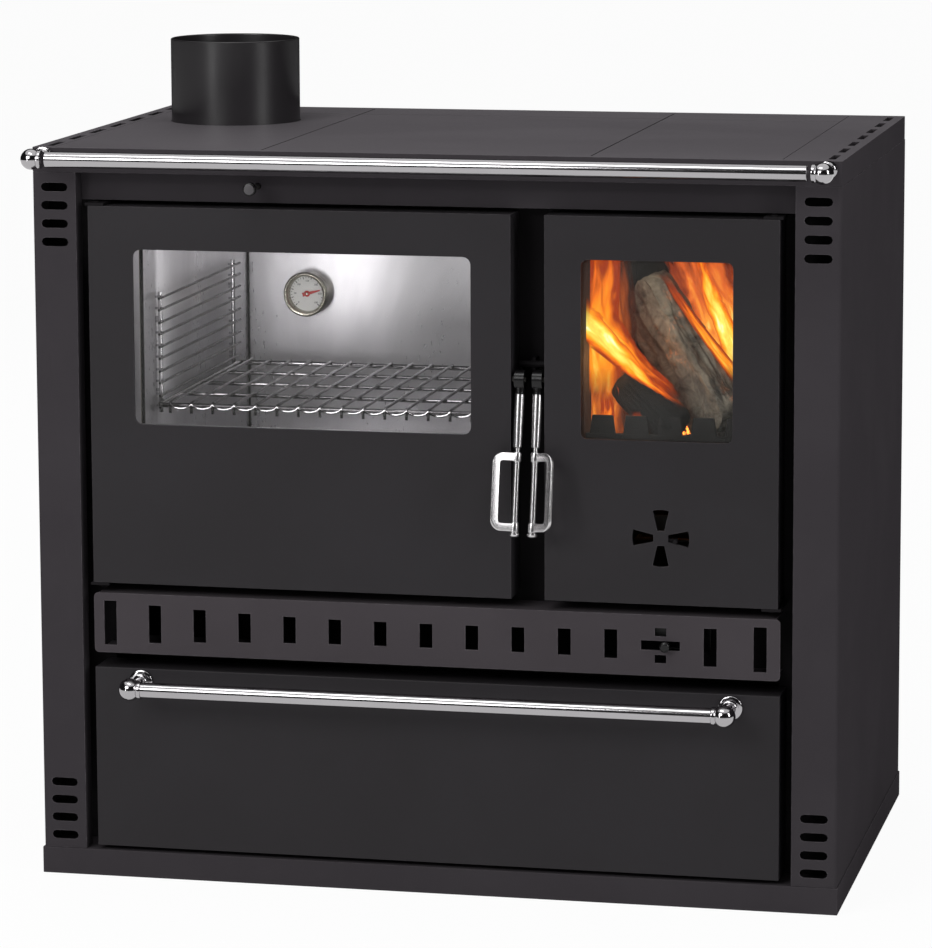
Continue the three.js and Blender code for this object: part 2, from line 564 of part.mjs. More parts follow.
// ---------------------------------------------------------------- oven
function ovenWalls() {
  const t = oven.sheet;
  const z = grow(ovenZ, t);
  part('oven_left_wall', block([ovenX[0] - t, ovenX[0]], ovenY, z), stainless);
  part('oven_right_wall', block([ovenX[1], ovenX[1] + t], ovenY, z), stainless);
  part('oven_top', block(grow(ovenX, -gap), ovenY, [ovenZ[1], ovenZ[1] + t]), stainless);
  part('oven_floor', block(grow(ovenX, -gap), ovenY, [ovenZ[0] - t, ovenZ[0]]), stainless);
  const hole = bore('y', gauge.stem + play, [ovenY[1], ovenY[1] + 2 * t + 1], gaugeAt);
  part('oven_back', cut(block(grow(ovenX, t), [ovenY[1] + gap, ovenY[1] + gap + t], z), hole), stainless);
}

const gaugeAt = [ovenX[0] + gauge.fromLeft, ovenZ[1] - gauge.belowTop];
const postY = [ovenY[0] + ladder.front, ovenY[1] - ladder.rear];
const runnerFoot = (level) => ovenZ[0] + ladder.lowest + level * ladder.pitch;
const wireOff = ladder.postOff + ladder.post + ladder.wire - ladder.weld;
const rackSides = grow(ovenX, -(ladder.postOff + ladder.post + gap + rack.rim));

// Wire runners for the rack: two posts on the oven's wall, and a pair of wires for each level.
function shelfLadder(side) {
  const wall = side < 0 ? ovenX[0] : ovenX[1];
  const x = wall - side * ladder.postOff;
  const wireX = wall - side * wireOff;
  const top = runnerFoot(ladder.levels - 1) + ladder.pair + ladder.crown;
  const posts = postY.map((y) => round('z', ladder.post, [ovenZ[0] + ladder.lowest - 8, top], [x, y], 6));
  const clips = postY.flatMap((y) => [0, ladder.clipPitch].map((up) => {
    const reach = [x, wall - side * gap].sort((a, b) => a - b);
    return round('x', ladder.clip, reach, [y, runnerFoot(0) + ladder.clipRise + up], 6);
  }));
  const wires = Array.from({ length: ladder.levels }, (_, level) => [0, ladder.pair].map((up) => round(
    'y', ladder.wire, grow(postY, ladder.overrun), [wireX, runnerFoot(level) + up], 6))).flat();
  return join(...posts, ...clips, ...wires);
}

// A chromed wire shelf whose wires turn down over the front.
function ovenRack() {
  const sides = rackSides;
  const z = runnerFoot(0) + ladder.wire + gap + rack.rim;
  const y = [ovenY[0] + rack.front, ovenY[1] - rack.rear];
  const rim = [...sides.map((x) => round('y', rack.rim, y, [x, z], 8)),
    ...y.map((at) => round('x', rack.rim, sides, [at, z], 8))];
  const corners = sides.flatMap((x) => y.map((at) => ball(rack.rim, x, at, z, 8)));
  const span = y[1] - y[0];
  const stays = Array.from({ length: rack.crossCount }, (_, i) => round('x', rack.cross, sides,
    [y[0] + (span * (i + 1)) / (rack.crossCount + 1), z], 6));
  const inside = sides[1] - sides[0] - 2 * rack.edge;
  const wireZ = z + rack.rim + 0.2;
  const nosing = y[0] - rack.rim + 0.5;
  const wires = spread(rack.count, inside / (rack.count - 1)).flatMap((x) => {
    const at = middle(sides) + x;
    return [round('y', rack.wire, [nosing, y[1] + 2], [at, wireZ], 6),
      round('z', rack.wire, [wireZ - rack.drop, wireZ + 1], [at, nosing], 6)];
  });
  return join(...rim, ...corners, ...stays, ...wires);
}

function gaugeCase() {
  const rim = ovenY[1] - gauge.depth;
  const dial = rim + gauge.recess;
  const y = ([r, along]) => [r, -along];
  const cup = [[0, ovenY[1]], [gauge.radius, ovenY[1]], [gauge.radius, rim], [gauge.radius - gauge.wall, rim],
    [gauge.radius - gauge.wall, dial], [gauge.spindle, dial], [gauge.spindle, dial - 5], [0, dial - 5]].map(y);
  const tail = round('y', gauge.stem, [ovenY[1] - 1, ovenY[1] + 18], gaugeAt, 10);
  return join(turned('y', cup, gaugeAt, 32), tail);
}

function gaugePointer() {
  const dial = ovenY[1] - gauge.depth + gauge.recess;
  const [x, z] = gaugeAt;
  const slope = 15 * degrees;
  const at = (along, off) => [x + along * Math.cos(slope) - off * Math.sin(slope),
    z + along * Math.sin(slope) + off * Math.cos(slope)];
  const y = [dial - 3.2, dial - 2];
  const blade = push(outline([at(-6, -2.5), at(17, -0.8), at(17, 0.8), at(-6, 2.5)]), 'y', y);
  const hole = bore('y', gauge.spindle + play, grow(y, 1), gaugeAt, 8);
  return cut(join(round('y', 4, y, gaugeAt, 10), blade), hole);
}

// ---------------------------------------------------------------- firebox
const shellX = grow(fireX, firebox.brick + gap);
const shellY = [ovenY[0], back - firebox.behind];
const grateTop = fireZ[0] - fireMouth.grateDrop;
const grateFoot = grateTop - firebox.grate;

// Three walls and a floor, with ledges that carry the grate and the bricks.
function fireboxShell() {
  const t = firebox.sheet;
  const wallTop = grateTop + firebox.lining + firebox.liningRise;
  const z = [ashZ[0] - t, wallTop];
  const outside = block(grow(shellX, t), [shellY[0], shellY[1] + t], z);
  const hollow = block(shellX, [shellY[0] - 1, shellY[1]], [ashZ[0], wallTop + 1]);
  const ledges = [[shellX[0] - 1, fireX[0] + 7], [fireX[1] - 7, shellX[1] + 1]].map((x) => block(
    x, [shellY[0], shellY[1] + 1], [grateFoot - gap - firebox.ledge, grateFoot - gap]));
  return join(cut(outside, hollow), ...ledges);
}

function firebricks() {
  const z = [grateFoot, grateFoot + firebox.lining];
  const y = [shellY[0] + gap, shellY[1] - firebox.brick - 2 * gap];
  part('firebrick_left', block([shellX[0] + gap, fireX[0]], y, z), brick);
  part('firebrick_right', block([fireX[1], shellX[1] - gap], y, z), brick);
  const rear = [shellY[1] - firebox.brick - gap, shellY[1] - gap];
  part('firebrick_back', block(grow(shellX, -gap), rear, z), brick);
}

// Cast grate: a rim round two rows of long slots.
function fireGrate() {
  const { rim } = firebox;
  const x = grow(fireX, -gap);
  const y = [shellY[0] + gap, shellY[1] - firebox.brick - 2 * gap];
  const z = [grateFoot, grateTop];
  const pitch = (x[1] - x[0] - 2 * rim) / firebox.slots;
  const rows = [[y[0] + rim, middle(y) - rim / 2], [middle(y) + rim / 2, y[1] - rim]];
  const slots = spread(firebox.slots, pitch).flatMap((offset) => rows.map((row) => block(
    around(middle(x) + offset, pitch * 0.27), row, grow(z, 1))));
  return cut(block(x, y, z), ...slots);
}

function ashPanBody() {
  const x = grow(fireX, -ashPan.side);
  const y = [frameBack + ashPan.setBack, shellY[1] - ashPan.behind];
  const z = [ashZ[0] + gap, ashZ[0] + gap + ashPan.height];
  const t = ashPan.sheet;
  const pan = cut(block(x, y, z), block(grow(x, -t), grow(y, -t), [z[0] + t, z[1] + 1]));
  const reach = y[0] - ashPan.bailReach;
  const grip = around(middle(x), ashPan.bailHalf);
  const height = z[0] + ashPan.height * 0.6;
  return join(pan, round('x', ashPan.bail, grip, [reach, height], 8), ball(ashPan.bail, grip[0], reach, height, 8),
    ball(ashPan.bail, grip[1], reach, height, 8),
    ...grip.map((at) => round('y', ashPan.bail, [reach, y[0] + 1], [at, height], 8)));
}

// ---------------------------------------------------------------- drawer
const drawerMouthX = grow([-frontHalf, frontHalf], -drawer.mouthInset);
const drawerMouthZ = [drawerFoot + drawer.mouthRise, drawerTop + 4];
const bodyX = grow(drawerMouthX, -drawer.sideClear);
const bodyZ = [drawerMouthZ[0] + 4, drawerTop - drawer.belowTop];
const bodyY = [frameFront, back - drawer.behind];

function drawerBody() {
  const t = drawer.sheet;
  return cut(block(bodyX, bodyY, bodyZ), block(grow(bodyX, -t), grow(bodyY, -t), [bodyZ[0] + t, bodyZ[1] + 1]));
}

function drawerFront() {
  const x = grow([-frontHalf, frontHalf], -sideGap);
  return tray(x, [front, frameFront - gap], [drawerFoot, drawerTop], 2, 2);
}

// A folded rail: a foot on the plinth, a web beside the drawer and a ledge under it.
function drawerRunner(side) {
  const t = runner.sheet;
  const x = (inward) => side * (drawerMouthX[1] - inward);
  const web = [runner.offWeb, runner.offWeb + t];
  const z = { foot: plinth.height + gap, ledge: bodyZ[0] - gap, top: bodyZ[0] + runner.webRise };
  const section = [[x(-runner.foot), z.foot], [x(-runner.foot), z.foot + t], [x(web[0]), z.foot + t],
    [x(web[0]), z.top], [x(web[1]), z.top], [x(web[1]), z.ledge], [x(runner.ledge), z.ledge],
    [x(runner.ledge), z.ledge - t], [x(web[1]), z.ledge - t], [x(web[1]), z.foot]];
  return push(outline(section), 'y', [frameBack + gap, back - runner.behind]);
}

// ---------------------------------------------------------------- damper and air slider
// The bypass damper's wall between the oven and the hob, on a foot, with a port that the blade covers.
function smokeBaffle() {
  const y = front + damper.baffleAt;
  const x = [ovenX[0] - oven.sheet, ovenX[1] + oven.sheet];
  const foot = ovenZ[1] + oven.sheet + gap;
  const wall = block(x, [y, y + 2], [foot, ledgeFoot - gap]);
  const flange = block(x, [y, y + damper.baffleFoot], [foot, foot + 2]);
  const port = block(around(damperX, damper.portWidth / 2), [y - 1, y + 3], around(damperZ, damper.portHeight / 2));
  return cut(join(wall, flange), port);
}

function damperRod() {
  const blade = [front + damper.baffleAt - gap - damper.plate, front + damper.baffleAt - gap];
  const knobBack = front + fascia.setBack - damper.reach + damper.knobLength;
  const high = around(damperZ, damper.portHeight / 2 + 3.5);
  return join(round('y', damper.rod, [knobBack - 4, blade[0] + 1], [damperX, damperZ], 10),
    block(around(damperX, damper.portWidth / 2 + damper.lap), blade, high));
}

function damperKnob() {
  const face = front + fascia.setBack - damper.reach;
  const end = face + damper.knobLength;
  const socket = bore('y', damper.rod + play, [end - 4 - gap, end + 1], [damperX, damperZ]);
  const knob = turned('y', [[0, -end], [4.5, -end], [5, 6 - end], [damper.knob, 8 - end], [damper.knob, -face - 2],
    [damper.knob - 2, -face], [0, -face]], [damperX, damperZ], 20);
  return cut(knob, socket);
}

const portX = around(fireMiddle, slider.port / 2);

function airSlider() {
  const y = [frameFront - gap - slider.sheet, frameFront - gap];
  const at = fireMiddle + slider.rest;
  const port = block(around(at, slider.port / 2), grow(y, 1), around(bandMiddle, slider.portHigh / 2));
  const plate = cut(block(around(at, slider.width / 2 - 2), y, around(bandMiddle, slider.height / 2)), port);
  const bridge = block(around(at, slider.port / 2 + 1), y, around(bandMiddle, 4));
  const rod = round('y', slider.stem, [front - 4, y[1]], [at, bandMiddle], 10);
  const knob = turned('y', [[0, 3 - front], [slider.knob - 1, 3 - front], [slider.knob, 5 - front],
    [slider.knob, 9 - front], [slider.knob - 2, 11 - front], [0, 11 - front]], [at, bandMiddle], 16);
  return join(plate, bridge, rod, knob);
}

// ---------------------------------------------------------------- the whole stove
part('plinth', plinthTray(), paint);
part('left_side_casing', sideCasing(-1), paint);
part('right_side_casing', sideCasing(1), paint);
part('back_panel', backPanel(), paint);
part('front_frame', frontFrame(), black);
part('upper_fascia', upperFascia(), paint);
part('vent_band', ventBand(), paint);
part('hob_frame', hobFrame(), hobSteel);
part('flue_plate', fluePlate(), hobSteel);
part('middle_plate', hobPlate([plateX[1], plateX[2]]), hobSteel);
part('fire_plate', hobPlate([plateX[2], plateX[3]]), hobSteel);
part('flue_collar', flueCollar(), black);
part('front_rail', railTube(), chrome);
part('rail_left_end', barEnd(-1, railEnd, railAt, rail, front), chrome);
part('rail_right_end', barEnd(1, railEnd, railAt, rail, front), chrome);
ovenWalls();
part('shelf_ladder_left', shelfLadder(-1), chrome);
part('shelf_ladder_right', shelfLadder(1), chrome);
part('oven_rack', ovenRack(), chrome);
part('thermometer_case', gaugeCase(), chrome);
part('thermometer_pointer', gaugePointer(), pointerRed);
part('firebox_shell', fireboxShell(), iron);
firebricks();
part('fire_grate', fireGrate(), iron);
part('ash_pan', ashPanBody(), hobSteel);
door3(ovenDoor, 'oven', ovenWindow, [ovenX, ovenZ]);
door3(fireDoor, 'fire', fireWindow, [fireX, [ashZ[0], fireZ[1]]],
  block(around(rosetteAt[0], rosette.disc), [front, front + door.depth + 1], around(rosetteAt[1], rosette.disc)));
part('air_rosette', airRosette(), hobSteel);
part('air_slider', airSlider(), black);
part('smoke_baffle', smokeBaffle(), iron);
part('damper_rod', damperRod(), hobSteel);
part('damper_knob', damperKnob(), black);
part('drawer_body', drawerBody(), paint);
part('drawer_front', drawerFront(), doorPaint);
part('drawer_bar', drawerBar(), chrome);
part('drawer_runner_left', drawerRunner(-1), hobSteel);
part('drawer_runner_right', drawerRunner(1), hobSteel);

// The origin is under the middle of everything, and the rail's balls reach furthest forward.
stove.position.y = -(front - rail.standOff - rail.ball + back + plinth.proud) / 2;

export default stove;
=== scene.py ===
"""The looks of a wood cookstove: enamelled sheet, chromed rail and grips, a bright oven and a lit fire."""

import json
import math
import random

import bmesh
import bpy
from mathutils import Matrix, Vector, noise


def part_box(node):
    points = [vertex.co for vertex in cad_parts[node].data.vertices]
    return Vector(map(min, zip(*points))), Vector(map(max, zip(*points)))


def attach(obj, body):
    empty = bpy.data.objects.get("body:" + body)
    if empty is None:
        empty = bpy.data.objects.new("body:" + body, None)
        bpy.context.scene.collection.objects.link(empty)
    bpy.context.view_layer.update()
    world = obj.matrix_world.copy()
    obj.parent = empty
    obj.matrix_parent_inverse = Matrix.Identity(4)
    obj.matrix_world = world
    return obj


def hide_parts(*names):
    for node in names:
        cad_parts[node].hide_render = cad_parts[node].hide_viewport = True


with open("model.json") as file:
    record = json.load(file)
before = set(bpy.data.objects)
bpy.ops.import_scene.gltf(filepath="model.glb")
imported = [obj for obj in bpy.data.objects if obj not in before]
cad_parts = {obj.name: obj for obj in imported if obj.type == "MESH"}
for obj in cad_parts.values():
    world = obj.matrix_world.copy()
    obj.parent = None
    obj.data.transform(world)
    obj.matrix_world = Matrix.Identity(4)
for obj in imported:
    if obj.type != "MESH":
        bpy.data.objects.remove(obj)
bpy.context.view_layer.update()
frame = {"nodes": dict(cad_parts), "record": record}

MM = 0.001
FULL_TURN = 2 * math.pi
AXIS = {"x": Vector((1, 0, 0)), "y": Vector((0, 1, 0)), "z": Vector((0, 0, 1))}
scene = bpy.context.scene
scene.view_settings.view_transform = "Standard"

# ---------------- what the frame says
BODY_OF = {name: body for body, names in frame["record"]["behaviour"]["bodies"].items() for name in names}
SLOT_OF = {part["node"]: part["material_slot"] for part in frame["record"]["subparts"]}
JOINT = {joint["name"]: joint for joint in frame["record"]["behaviour"]["joints"]}


def corners(node_name):
    return [Vector(corner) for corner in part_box(node_name)]


# ---------------- camera, lamps and floor
CAMERA_PLACE = Vector((1.1004, -4.9965, 1.3239))
CAMERA_YAW, CAMERA_PITCH, CAMERA_ROLL = math.radians(-12.59), math.radians(-8.51), math.radians(-0.23)
CAMERA_LENS_MM = 165.95
CAMERA_SHIFT_Y = -0.1002
SCREEN_RADIUS, SCREEN_FOOT, SCREEN_HEIGHT = 7.0, 0.02, 7.5
FLOOR_REACH, FLOOR_WHITENESS = 30, 0.95
ROOM_LIGHT = 0.42


def place_camera():
    """The photograph's viewpoint: far off, to the right of the stove and a little above its hob."""
    level = Vector((math.cos(CAMERA_YAW), -math.sin(CAMERA_YAW), 0))
    outward = Vector((math.sin(CAMERA_YAW), math.cos(CAMERA_YAW), 0))
    ahead = outward * math.cos(CAMERA_PITCH) + AXIS["z"] * math.sin(CAMERA_PITCH)
    upright = level.cross(ahead)
    right = level * math.cos(CAMERA_ROLL) + upright * math.sin(CAMERA_ROLL)
    up = upright * math.cos(CAMERA_ROLL) - level * math.sin(CAMERA_ROLL)
    data = bpy.data.cameras.new("camera")
    data.lens, data.sensor_width, data.shift_y = CAMERA_LENS_MM, 36, CAMERA_SHIFT_Y
    data.clip_end = 60
    camera = bpy.data.objects.new("camera", data)
    turn = Matrix((right, up, -ahead)).transposed().to_4x4()
    camera.matrix_world = Matrix.Translation(CAMERA_PLACE) @ turn
    scene.collection.objects.link(camera)
    scene.camera = camera


def soft_lamp(name, place, target, size, watts, colour=(1, 1, 1)):
    data = bpy.data.lights.new(name, "AREA")
    data.shape, data.size, data.size_y, data.energy, data.color = "RECTANGLE", *size, watts, colour
    return hung(name, data, place, (Vector(target) - Vector(place)).to_track_quat("-Z", "Y").to_euler())


def hung(name, data, place, turned=(0, 0, 0)):
    lamp = bpy.data.objects.new(name, data)
    lamp.location, lamp.rotation_euler = place, turned
    scene.collection.objects.link(lamp)
    return lamp


def light_the_studio():
    soft_lamp("lamp_front_left", (-1.5, -3.2, 2.25), (0, 0, 0.5), (2.0, 1.3), 52)
    soft_lamp("lamp_right", (3.4, -1.7, 1.8), (0, 0, 0.45), (0.7, 1.8), 36)
    soft_lamp("lamp_over_hob", (-0.5, -1.2, 3.3), (0, 0, 0.85), (1.6, 0.7), 18)
    soft_lamp("lamp_strip", (-1.9, -3.1, 0.9), (0, 0, 0.7), (0.3, 1.7), 9)
    soft_lamp("lamp_behind", (-1.6, 3.4, 2.4), (0, 0, 0.5), (1.6, 1.2), 22).visible_glossy = False


def light_the_oven():
    """Strips in the oven: one that the back wall mirrors, one under the top, one at the right."""
    low, high = corners("oven_top")
    right = Vector((high.x, low.y, low.z))
    back = Vector((low.x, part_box("oven_back")[0][1], low.z))
    for name, place, target, size, watts in (
            ("glow", low + Vector((0.034, 0.04, -0.12)), back + Vector((0.07, 0, -0.12)), (0.022, 0.2), 0.3),
            ("top", low + Vector((0.1, 0.03, -0.012)), back + Vector((0.06, 0, -0.3)), (0.16, 0.04), 0.03),
            ("fill", right + Vector((-0.1, 0.016, -0.1)), back + Vector((0.03, -0.12, -0.16)), (0.1, 0.06),
             0.26)):
        soft_lamp("lamp_oven_" + name, place, target, size, watts).visible_camera = False


def light_the_fire():
    """The light that the flames throw on the logs, from between the logs and the glass."""
    low, high = corners("fire_grate")
    top = Vector((low.x, low.y, high.z))
    lamps = []
    for name, place, watts in (("lamp_fire_left", top + Vector((0.02, 0.016, 0.1)), 0.4),
                               ("lamp_fire_back", Vector((high.x - 0.06, low.y + 0.16, high.z + 0.13)), 0.5)):
        data = bpy.data.lights.new(name, "POINT")
        data.energy, data.color, data.shadow_soft_size = watts, (1.0, 0.5, 0.2), 0.02
        lamps.append(hung(name, data, place))
    lamps.append(soft_lamp("lamp_fire_front", top + Vector((0.06, 0.014, 0.22)),
                           top + Vector((0.12, 0.09, 0.1)), (0.12, 0.02), 0.055, (1.0, 0.9, 0.76)))
    for lamp in lamps:
        lamp.visible_camera = lamp.visible_glossy = False


def staged(name, bm, material):
    """A thing of the studio, which isn't part of the stove."""
    mesh = bpy.data.meshes.new(name)
    bm.to_mesh(mesh)
    bm.free()
    mesh.materials.append(material)
    thing = bpy.data.objects.new(name, mesh)
    scene.collection.objects.link(thing)
    return thing


def dark_screen():
    """A dark round screen about the studio, which only bright metal and gloss can see."""
    bm = bmesh.new()
    foot, top = (bm.verts.new((-SCREEN_RADIUS, 0, z)) for z in (SCREEN_FOOT, SCREEN_HEIGHT))
    bmesh.ops.spin(bm, geom=[foot, top, bm.edges.new((foot, top))], cent=(0, 0, 0), axis=AXIS["z"],
                   angle=FULL_TURN, steps=48, use_merge=True)
    screen = staged("dark_screen", bm, new_finish("dark_cloth", Base_Color=rgb(34, 33, 35), Roughness=1.0)[0])
    screen.visible_camera = screen.visible_diffuse = screen.visible_shadow = screen.visible_transmission = False


def floor():
    """A pale floor, shown nearly white, that keeps the stove's shadow."""
    bm = bmesh.new()
    bmesh.ops.create_grid(bm, x_segments=1, y_segments=1, size=FLOOR_REACH)
    material, tree, shader = new_finish("pale_floor", Roughness=0.9, Specular_IOR_Level=0.1)
    speckle = noisy(tree, object_place(tree), Scale=3.0, Detail=6.0)
    dress(tree, shader, Base_Color=blended(tree, speckle, rgb(240, 240, 241), rgb(246, 246, 247)))
    both = node(tree, "MixShader", Fac=computed(tree, "MULTIPLY", shown_as_white(tree), FLOOR_WHITENESS))
    tree.links.new(shader.outputs["BSDF"], both.inputs[1])
    tree.links.new(node(tree, "Emission", Strength=1.0).outputs["Emission"], both.inputs[2])
    tree.links.new(both.outputs["Shader"], tree.nodes["Material Output"].inputs["Surface"])
    staged("floor", bm, material)


def pale_world():
    """Soft grey light from all round, which the camera, metal and glass see as a white room."""
    world = bpy.data.worlds.new("pale_room")
    scene.world = world
    world.use_nodes = True
    tree = world.node_tree
    dress(tree, tree.nodes["Background"], Color=(1, 1, 1, 1),
          Strength=ranged(tree, shown_as_white(tree), 0.0, 1.0, ROOM_LIGHT, 1.0))


# ---------------- shader helpers
BLACK = (0, 0, 0, 1)
GRAIN_DEPTH = 0.0004
COLOUR, NUMBER, VECTOR = "NodeSocketColor", "NodeSocketFloat", "NodeSocketVector"


def feed(tree, socket, value):
    """Sets a socket, or links it where the value is another node's output."""
    if isinstance(value, bpy.types.NodeSocket):
        tree.links.new(value, socket)
    else:
        socket.default_value = value


def dress(tree, shader, **values):
    """Feeds a shader's sockets by name."""
    for name, value in values.items():
        feed(tree, shader.inputs[name.replace("_", " ")], value)


def node(tree, kind, **values):
    """A shader node with its settings, and its sockets set or linked."""
    made = tree.nodes.new("ShaderNode" + kind)
    for name, value in values.items():
        if hasattr(made, name):
            setattr(made, name, value)
        else:
            feed(tree, made.inputs[name.replace("_", " ")], value)
    return made


def fed_by_place(tree, made, values):
    for index, value in values:
        feed(tree, made.inputs[index], value)
    return made


def computed(tree, operation, *values, clamp=False):
    """What a Math node makes of some values."""
    made = node(tree, "Math", operation=operation, use_clamp=clamp)
    return fed_by_place(tree, made, enumerate(values)).outputs["Value"]


def of_vectors(tree, operation, first, second):
    """What a Vector Math node makes of two vectors."""
    made = fed_by_place(tree, node(tree, "VectorMath", operation=operation), ((0, first), (1, second)))
    return made.outputs["Value" if operation == "DOT_PRODUCT" else "Vector"]


def blended(tree, share, first, second):
    """A colour between two others."""
    made = node(tree, "Mix", data_type="RGBA")
    return fed_by_place(tree, made, ((0, share), (6, first), (7, second))).outputs[2]


def ranged(tree, value, low, high, to_low=0.0, to_high=1.0):
    """A value carried from one range to another, and kept inside it."""
    made = node(tree, "MapRange", Value=value, From_Min=low, From_Max=high, To_Min=to_low, To_Max=to_high)
    return made.outputs["Result"]


def ramped(tree, value, stops):
    """A colour from a ramp of positions and colours."""
    made = node(tree, "ValToRGB", Fac=value)
    ramp = made.color_ramp.elements
    ramp[0].position, ramp[0].color = stops[0]
    ramp[1].position, ramp[1].color = stops[-1]
    for position, colour in stops[1:-1]:
        ramp.new(position).color = colour
    return made.outputs["Color"]


def noisy(tree, place, **values):
    return node(tree, "TexNoise", Vector=place, **values).outputs["Fac"]


def bumped(tree, height, strength, distance):
    return node(tree, "Bump", Height=height, Strength=strength, Distance=distance).outputs["Normal"]


def object_place(tree):
    return node(tree, "TexCoord").outputs["Object"]


def shown_as_white(tree):
    """1 for the rays by which the camera sees a surface, itself or in metal and glass."""
    ray = node(tree, "LightPath").outputs
    direct = computed(tree, "ADD", ray["Is Camera Ray"], ray["Is Glossy Ray"])
    return computed(tree, "ADD", direct, ray["Is Transmission Ray"], clamp=True)


def rgb(red, green, blue):
    """A colour as seen in the photograph, 0 to 255, as the linear colour that a shader takes."""
    linear = [(c / 255 / 12.92) if c <= 10 else ((c / 255 + 0.055) / 1.055) ** 2.4 for c in (red, green, blue)]
    return (*linear, 1)


def new_group(name, inputs, outputs):
    group = bpy.data.node_groups.new(name, "ShaderNodeTree")
    for label, kind, value in inputs:
        group.interface.new_socket(name=label, in_out="INPUT", socket_type=kind).default_value = value
    for label, kind in outputs:
        group.interface.new_socket(name=label, in_out="OUTPUT", socket_type=kind)
    return group, group.nodes.new("NodeGroupInput").outputs, group.nodes.new("NodeGroupOutput").inputs


def grain_group():
    """Fine texture and slow patchiness of a finish: a colour, a roughness and a height."""
    tree, given, out = new_group("surface_grain", (
        ("Colour", COLOUR, (0.1, 0.1, 0.1, 1)), ("Patch Colour", COLOUR, (0.2, 0.2, 0.2, 1)),
        ("Patch Amount", NUMBER, 0.2), ("Roughness", NUMBER, 0.5), ("Roughness Spread", NUMBER, 0.1),
        ("Grain Size", NUMBER, 900.0), ("Stretch", VECTOR, (1, 1, 1))),
        (("Colour", COLOUR), ("Roughness", NUMBER), ("Height", NUMBER)))
    drawn = of_vectors(tree, "MULTIPLY", object_place(tree), given["Stretch"])
    fine = noisy(tree, drawn, Scale=given["Grain Size"], Detail=4.0, Roughness=0.6)
    slow = noisy(tree, drawn, Scale=5.0, Detail=5.0, Roughness=0.62, Distortion=0.4)
    patch = computed(tree, "MULTIPLY", ranged(tree, slow, 0.42, 0.68), given["Patch Amount"])
    centred = computed(tree, "SUBTRACT", computed(tree, "ADD", fine, slow), 1.0)
    feed(tree, out["Colour"], blended(tree, patch, given["Colour"], given["Patch Colour"]))
    rough = computed(tree, "MULTIPLY_ADD", centred, given["Roughness Spread"], given["Roughness"], clamp=True)
    feed(tree, out["Roughness"], rough)
    feed(tree, out["Height"], fine)
    return tree


def edge_wear_and_highlight_group():
    """A mask that is 1 along outer edges, broken up by noise: wear, and painted highlights along the eased
    edges.
    """
    tree, given, out = new_group("edge_wear_and_highlight", (("Width", NUMBER, 0.0012), ("Amount", NUMBER, 0.5)),
                                 (("Mask", NUMBER),))
    rounded = node(tree, "Bevel", samples=4, Radius=given["Width"]).outputs["Normal"]
    agree = of_vectors(tree, "DOT_PRODUCT", rounded, node(tree, "NewGeometry").outputs["Normal"])
    broken = ranged(tree, noisy(tree, object_place(tree), Scale=120.0, Detail=5.0), 0.35, 0.65)
    mask = computed(tree, "MULTIPLY", ranged(tree, agree, 0.985, 0.88), broken)
    feed(tree, out["Mask"], computed(tree, "MULTIPLY", mask, given["Amount"], clamp=True))
    return tree


GRAIN = grain_group()
EDGE_WEAR_AND_HIGHLIGHT = edge_wear_and_highlight_group()


def new_finish(name, **values):
    material = bpy.data.materials.new(name)
    material.use_nodes = True
    tree = material.node_tree
    shader = tree.nodes["Principled BSDF"]
    dress(tree, shader, **values)
    return material, tree, shader


def grained(name, colour, patch, share, roughness, spread, size, bump, worn_and_lit_edge=None, wear_and_highlight=0.0, stretch=(1, 1, 1),
            **rest):
    """A finish with grain, patches, and lighter edges that are wear and painted edge highlight together, from
    the shared groups.
    """
    material, tree, shader = new_finish(name, **rest)
    grain = node(tree, "Group", node_tree=GRAIN, Colour=colour, Patch_Colour=patch, Patch_Amount=share,
                 Roughness=roughness, Roughness_Spread=spread, Grain_Size=size, Stretch=stretch).outputs
    shown = grain["Colour"]
    # The lighter edge colour is wear together with painted edge highlights.
    if wear_and_highlight:
        shown = blended(tree, node(tree, "Group", node_tree=EDGE_WEAR_AND_HIGHLIGHT, Amount=wear_and_highlight).outputs["Mask"], shown, worn_and_lit_edge)
    dress(tree, shader, Base_Color=shown, Roughness=grain["Roughness"],
          Normal=bumped(tree, grain["Height"], bump, GRAIN_DEPTH))
    return material


# ---------------- finishes
# Each finish's lighter edge colour stands for wear and for painted edge highlights together.
def casing_enamel():
    return grained("casing_enamel", rgb(56, 53, 56), rgb(62, 59, 62), share=0.5, roughness=0.5, spread=0.16,
                   size=1500.0, bump=0.22, worn_and_lit_edge=rgb(110, 106, 110), wear_and_highlight=0.6, Specular_IOR_Level=0.0)


def band_enamel():
    return grained("band_enamel", rgb(65, 61, 64), rgb(71, 67, 70), share=0.5, roughness=0.5, spread=0.16,
                   size=1500.0, bump=0.22, worn_and_lit_edge=rgb(120, 116, 120), wear_and_highlight=0.6, Specular_IOR_Level=0.0)


def door_enamel():
    return grained("door_enamel", rgb(41, 39, 41), rgb(46, 44, 47), share=0.4, roughness=0.4, spread=0.12,
                   size=1800.0, bump=0.12, worn_and_lit_edge=rgb(100, 96, 100), wear_and_highlight=0.5, Specular_IOR_Level=0.12)


def satin_hob():
    return grained("satin_hob", rgb(94, 90, 94), rgb(104, 100, 104), share=0.6, roughness=0.4, spread=0.16,
                   size=700.0, bump=0.16, worn_and_lit_edge=rgb(120, 116, 120), wear_and_highlight=0.3, stretch=(0.25, 1, 1),
                   Specular_IOR_Level=0.2)


def flue_enamel():
    return grained("flue_enamel", rgb(33, 31, 33), rgb(40, 37, 40), share=0.5, roughness=0.32, spread=0.06,
                   size=1500.0, bump=0.08, worn_and_lit_edge=rgb(90, 88, 90), wear_and_highlight=0.4, Specular_IOR_Level=0.5)


